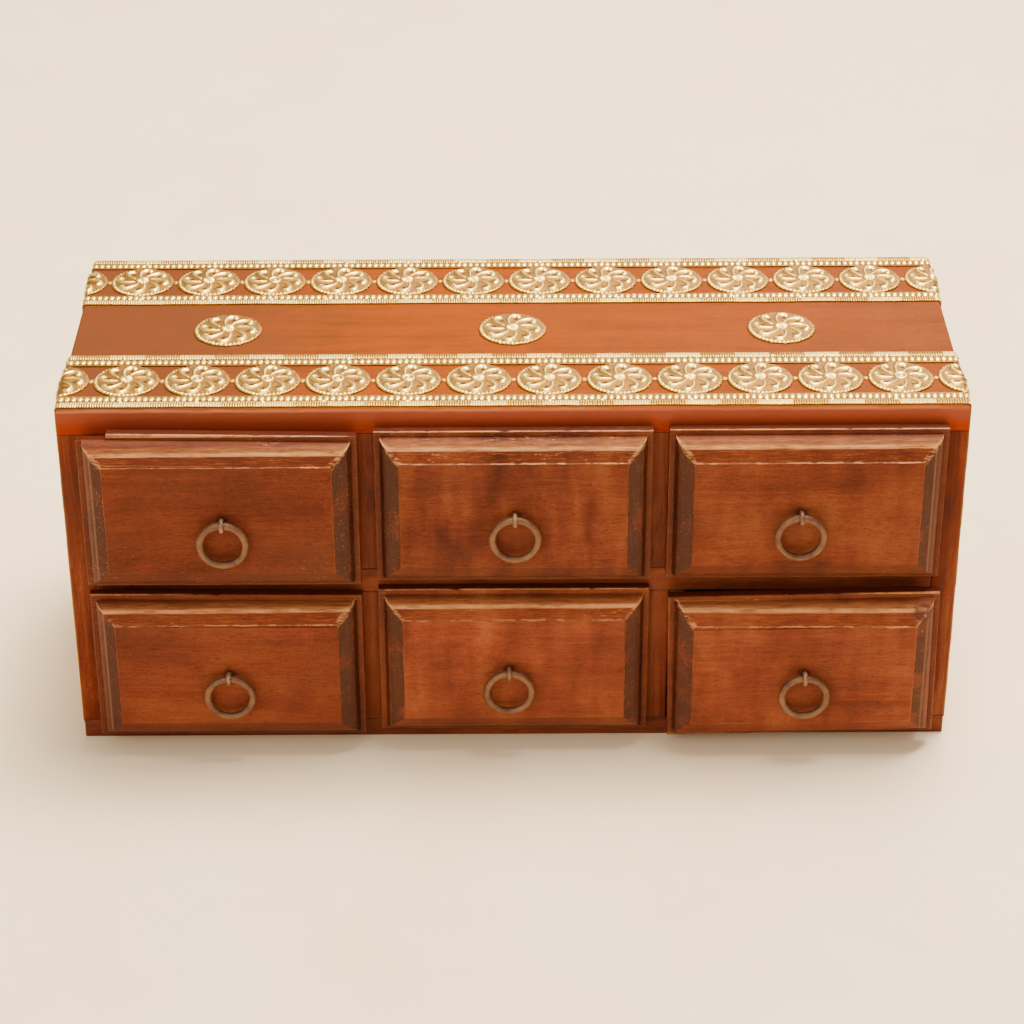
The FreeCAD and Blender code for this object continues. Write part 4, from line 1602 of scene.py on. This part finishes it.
    def weather(self, bm: bmesh.types.BMesh) -> None:
        """Nick the lip, wear the arrises and make the moulding slightly uneven.

        Args:
            bm: The front about its middle.
        """
        seed = self.finish.seed * 51.3
        chip_end = self.splinter - self.half_width + 0.01
        for vert in bm.verts:
            x, y, z = vert.co
            from_side = self.half_width - abs(x - self.aside)
            from_level = self.half_high - abs(z)
            inward = min(from_side, from_level)
            at_edge = inward < 2 * self.corner
            if self.splinter and at_edge and z > 0 and x < chip_end:
                vert.co.z = min(z, self.half_high - self.chip + rough(x * 0.5, 0, seed) * 0.2)
            if y > -0.01:
                continue
            if inward > self.lip_face + 0.1:
                swell = rough(x * 0.07 + seed, y * 0.2, z * 0.07)
                vert.co.y += swell * 0.22 + rough(x * 0.5, y, z * 0.5 + seed) * 0.05
            nick = max(0.0, rough(x * 0.33 + seed, z * 0.33, 7) - 0.28) * 0.9
            if at_edge and from_level < from_side:
                vert.co.z -= math.copysign(nick * (0.8 if z > 0 else 0.3), z)
            elif at_edge:
                vert.co.x -= math.copysign(nick * 0.4, x)

    def make_pin(self) -> bmesh.types.BMesh:
        """Sweep the split pin from its oval wire: round the eye, through the front and apart behind it.

        Returns:
            The pin.
        """
        bm = bmesh.new()
        open_angle = math.asin(self.leg / self.eye_radius)
        tail = self.eye_reach + self.plug[1] + 0.5 - self.leg
        section = bmesh.ops.create_circle(bm, segments=12, radius=1)["verts"]
        bmesh.ops.scale(bm, vec=(*self.strip, 1), verts=section)
        bmesh.ops.translate(bm, vec=(0, self.eye_radius, 0), verts=section)
        turned(bm, section, open_angle, "X")
        start = list(bm.edges)
        end = swept(bm, start, ((0, 0, 0), (1, 0, 0), 2 * (math.pi - open_angle)), None, 40)
        neck = self.eye_radius * math.cos(open_angle)
        for edges, side in ((start, 1), (end, -1)):
            level = side * self.leg
            for vert in {v for e in edges for v in e.verts}:
                spread = (vert.co.z - level) * math.cos(open_angle)
                vert.co.y, vert.co.z = neck, level + spread
            edges = swept(bm, edges, None, (0, tail - neck, 0), 4)
            bend = ((0, tail, side * (self.leg + self.leg_bend)), (1, 0, 0), side * math.pi / 2)
            edges = swept(bm, edges, bend, None, 6)
            edges = swept(bm, edges, None, (0, 0, side * self.leg_end), 2)
            bmesh.ops.edgeloop_fill(bm, edges=edges)
        bmesh.ops.remove_doubles(bm, verts=bm.verts, dist=1e-4)
        bmesh.ops.recalc_face_normals(bm, faces=bm.faces)
        bmesh.ops.translate(bm, vec=self.eye, verts=bm.verts)
        return bm

    def make_ring(self) -> bmesh.types.BMesh:
        """Spin the pull ring and make its wire uneven, as bent by hand.

        Returns:
            The ring, hanging from the eye.
        """
        bm = bmesh.new()
        section = bmesh.ops.create_circle(bm, segments=16, radius=self.wire)["verts"]
        bmesh.ops.translate(bm, vec=(self.ring_radius, 0, 0), verts=section)
        bmesh.ops.spin(bm, geom=[*section, *bm.edges], cent=(0, 0, 0), axis=(0, 1, 0), angle=2 * math.pi,
                       steps=72, use_merge=True)
        seed = self.finish.seed * 31
        for vert in bm.verts:
            angle = math.atan2(vert.co.z, vert.co.x)
            way = Vector((math.cos(angle), 0, math.sin(angle)))
            swell = rough(way.x * 1.4 + seed, way.z * 1.4, 0) * 0.16
            hollow = noise.noise(vert.co * 0.9 + Vector((seed, 0, 0))) * 0.05
            middle = way * self.ring_radius
            vert.co = middle + (vert.co - middle) * (1 + (swell + hollow) / self.wire * 0.8)
        bmesh.ops.recalc_face_normals(bm, faces=bm.faces)
        bmesh.ops.translate(bm, vec=self.eye - Vector((0, 0, self.ring_radius)), verts=bm.verts)
        return bm

    def make_board(self, node: str) -> bmesh.types.BMesh:
        """Make one board of the box with softened arrises.

        Args:
            node: The board's node.

        Returns:
            The board.
        """
        bm = node_copy(self.nodes[node])
        soften(bm, 0.3)
        return bm

    def build(self) -> None:
        """Make every piece of the drawer."""
        name, seed = self.name, self.finish.seed
        wood = self.finish.front(tuple(self.middle))
        self.add_piece(self.make_front(), 32, f"moulded_{name}_front", name, "front_wood", wood)
        boards = {"bottom": Grain.ALONG, "left_side": Grain.DEEP, "right_side": Grain.DEEP,
                  "back": Grain.ALONG}
        for part, grain in boards.items():
            node = f"{name}_{part}"
            raw = RawWood(f"raw_{node}", grain, seed + len(part)).material()
            self.add_piece(self.make_board(node), 35, f"planed_{node}", name, "drawer_wood", raw)
        pin = AgedMetal(f"pin_metal_{name}", seed + 3, rubbed=paint("977154")).material()
        self.add_piece(self.make_pin(), 50, f"bent_{name}_pin", name, "pin_metal", pin)
        ring = AgedMetal(f"metal_{name}", seed).material()
        self.add_piece(self.make_ring(), 60, f"round_{name}_ring", f"{name}_ring", "ring_metal", ring)

    def add_piece(self, bm: bmesh.types.BMesh, degrees: float, name: str, body: str, slot: str,
                  material: bpy.types.Material) -> None:
        """Turn a mesh into a piece of the drawer, in the place of the node that it is named for.

        Args:
            bm: The mesh.
            degrees: The angle up to which it is shaded smoothly.
            name: How it is made, and its node.
            body: The body it moves with.
            slot: The record's material slot; not used.
            material: Its finish.
        """
        smooth_by_angle(bm, degrees)
        to_piece(bm, name, body, material, [name.split("_", 1)[1]])


# ---- the studio ----


@dataclass
class Studio:
    """A pale floor, soft lights and the camera.

    Attributes:
        lens: Focal length.
        sensor: Width of the sensor.
        elevation: Degrees that the camera looks down.
        azimuth: Degrees that it stands to the right.
        roll: Degrees that it is turned about its line of sight.
        station: Where it stands, in millimetres.
        lamps: Each lamp's name, its place and target, its width, all in metres, and its power.
    """

    lens: float = 101.6
    sensor: float = 36.0
    elevation: float = 30.84
    azimuth: float = -0.21
    roll: float = -0.18
    station: Triple = (-3.6, -900.7, 596.0)
    warm: Triple = (1.0, 0.94, 0.85)
    around: Triple = (1.0, 0.93, 0.83)
    around_strength: float = 0.75
    floor_tones: tuple = (paint("FFDDB4"), paint("FFE8C2"))
    lamps: tuple = (("overhead", (0.3, 0.3, 1.75), (0, 0, 0.1), 0.9, 92),
                    ("rear", (0.6, 1.9, 1.3), (0, 0, 0.1), 1.2, 30),
                    ("front", (-0.9, -1.6, 1.2), (0, 0, 0.08), 1.2, 20))

    def floor(self) -> None:
        """A wide pale floor with a faint mottle."""
        bm = bmesh.new()
        bmesh.ops.create_grid(bm, x_segments=8, y_segments=8, size=4)
        mesh = bpy.data.meshes.new("floor")
        bm.to_mesh(mesh)
        bm.free()
        recipe = Recipe("pale_floor")
        mottle = recipe.noise(recipe.place(), 0.012, 4, 0.6)
        colour = recipe.ramp(mottle, list(zip((0.3, 0.7), self.floor_tones)))
        sockets = {"Base Color": colour, "Roughness": 0.85, "Specular IOR Level": 0.2}
        mesh.materials.append(recipe.finish(sockets))
        piece = bpy.data.objects.new("floor", mesh)
        bpy.context.collection.objects.link(piece)

    def lamp(self, name: str, place: Triple, target: Triple, width: float, power: float) -> None:
        """Hang a square soft lamp.

        Args:
            name: Its name.
            place: Where it hangs.
            target: What it faces.
            width: Its width.
            power: Its power in watts.
        """
        data = bpy.data.lights.new(name, "AREA")
        data.size = width
        data.energy = power
        data.color = self.warm
        light = bpy.data.objects.new(name, data)
        light.location = place
        light.rotation_euler = (Vector(target) - Vector(place)).to_track_quat("-Z", "Y").to_euler()
        bpy.context.collection.objects.link(light)

    def build(self) -> None:
        """Set up the floor, the lamps, the surroundings and the camera."""
        self.floor()
        for lamp in self.lamps:
            self.lamp(*lamp)
        world = bpy.data.worlds.new("surroundings")
        world.use_nodes = True
        background = world.node_tree.nodes["Background"].inputs
        background["Color"].default_value = (*self.around, 1)
        background["Strength"].default_value = self.around_strength
        bpy.context.scene.world = world
        self.camera()

    def camera(self) -> None:
        """Set up the camera, tilted down at the chest."""
        down, side, roll = [math.radians(angle) for angle in (self.elevation, self.azimuth, self.roll)]
        back = Vector((math.sin(side) * math.cos(down), -math.cos(side) * math.cos(down), math.sin(down)))
        right = Vector((0, 0, 1)).cross(back).normalized()
        up = back.cross(right)
        across = math.cos(roll) * right + math.sin(roll) * up
        upward = -math.sin(roll) * right + math.cos(roll) * up
        data = bpy.data.cameras.new("camera")
        data.lens, data.sensor_width = self.lens, self.sensor
        data.clip_start, data.clip_end = 0.05, 50
        camera = bpy.data.objects.new("camera", data)
        turn = Matrix((across, upward, back)).transposed().to_4x4()
        camera.matrix_world = Matrix.Translation(Vector(self.station) * MM) @ turn
        bpy.context.collection.objects.link(camera)
        bpy.context.scene.camera = camera


# ---- the chest ----


@dataclass(frozen=True)
class Front:
    """How one drawer differs from the others.

    Attributes:
        out: How far it stands open.
        pull_shift: How far its pull sits to the right of its middle.
        looks: The fields of its wood that differ.
        form: The fields of its drawer that differ.
    """

    out: float
    pull_shift: float
    looks: dict
    form: dict = field(default_factory=dict)


COLUMNS = {"left": -98.83, "middle": 0.0, "right": 98.83}
ROWS = {"upper": 69.75, "lower": 7.2}
FRONTS = {
    "upper_left": Front(4.0, 1.1, dict(outer=-1, haze=0.4, dust=0.8, cast=(0.95, 1.0, 0.95)),
                        dict(splinter=10.0, rake=0.75, lift=0.5)),
    "upper_middle": Front(1.3, 0.5, dict(chips=1.0, flame=0.6, deepen=0.6, cast=(1.0, 1.1, 1.1))),
    "upper_right": Front(0.8, -2.2, dict(outer=1, flame=0.3, deepen=1.1, cast=(1.04, 1.12, 1.05))),
    "lower_left": Front(2.8, 0.3, dict(outer=-1, chips=0.4, deepen=0.8, cast=(1.1, 1.15, 1.1)),
                        dict(rake=0.4, lift=-0.3)),
    "lower_middle": Front(0.5, -1.7, dict(flame=0.4, deepen=0.55, cast=(1.45, 1.6, 1.5))),
    "lower_right": Front(4.4, 1.6, dict(outer=1, aside=1.25, flame=0.3, deepen=1.5, foot_shade=0.1, knot=0.8,
                                        cast=(1.35, 1.5, 1.4)),
                         dict(tilt=1.0, lift=-0.4)),
}


def main() -> None:
    """Build the chest in order."""
    logging.basicConfig(level=logging.INFO, format="%(message)s")
    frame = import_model()
    nodes = frame["nodes"]
    Case(nodes=nodes).build()
    BrassBand("front", -37.2, 0.3, 3, 18.6, ringed=(-5, -4, -3, -2, 5)).build()
    BrassBand("rear", 38.0, -2.0, 8, 17.8, ringed=(-4,)).build()
    Medallion("left_medallion", (-99.4, 0.0, CASE_TOP), 1).build()
    Medallion("middle_medallion", (0.0, 0.0, CASE_TOP), 2).build()
    Medallion("right_medallion", (94.1, 0.0, CASE_TOP), 5).build()
    for index, (place, front) in enumerate(FRONTS.items()):
        row, column = place.split("_")
        face = (COLUMNS[column], CASE_FRONT - front.out, ROWS[row])
        finish = MouldedWood(f"wood_{place}_front", seed=4.0 + index * 1.7, pull_shift=front.pull_shift,
                             **front.looks)
        Drawer(f"{place}_drawer", face, finish, nodes, pull_shift=front.pull_shift, **front.form).build()
    Studio().build()


if __name__ == "__main__":
    main()
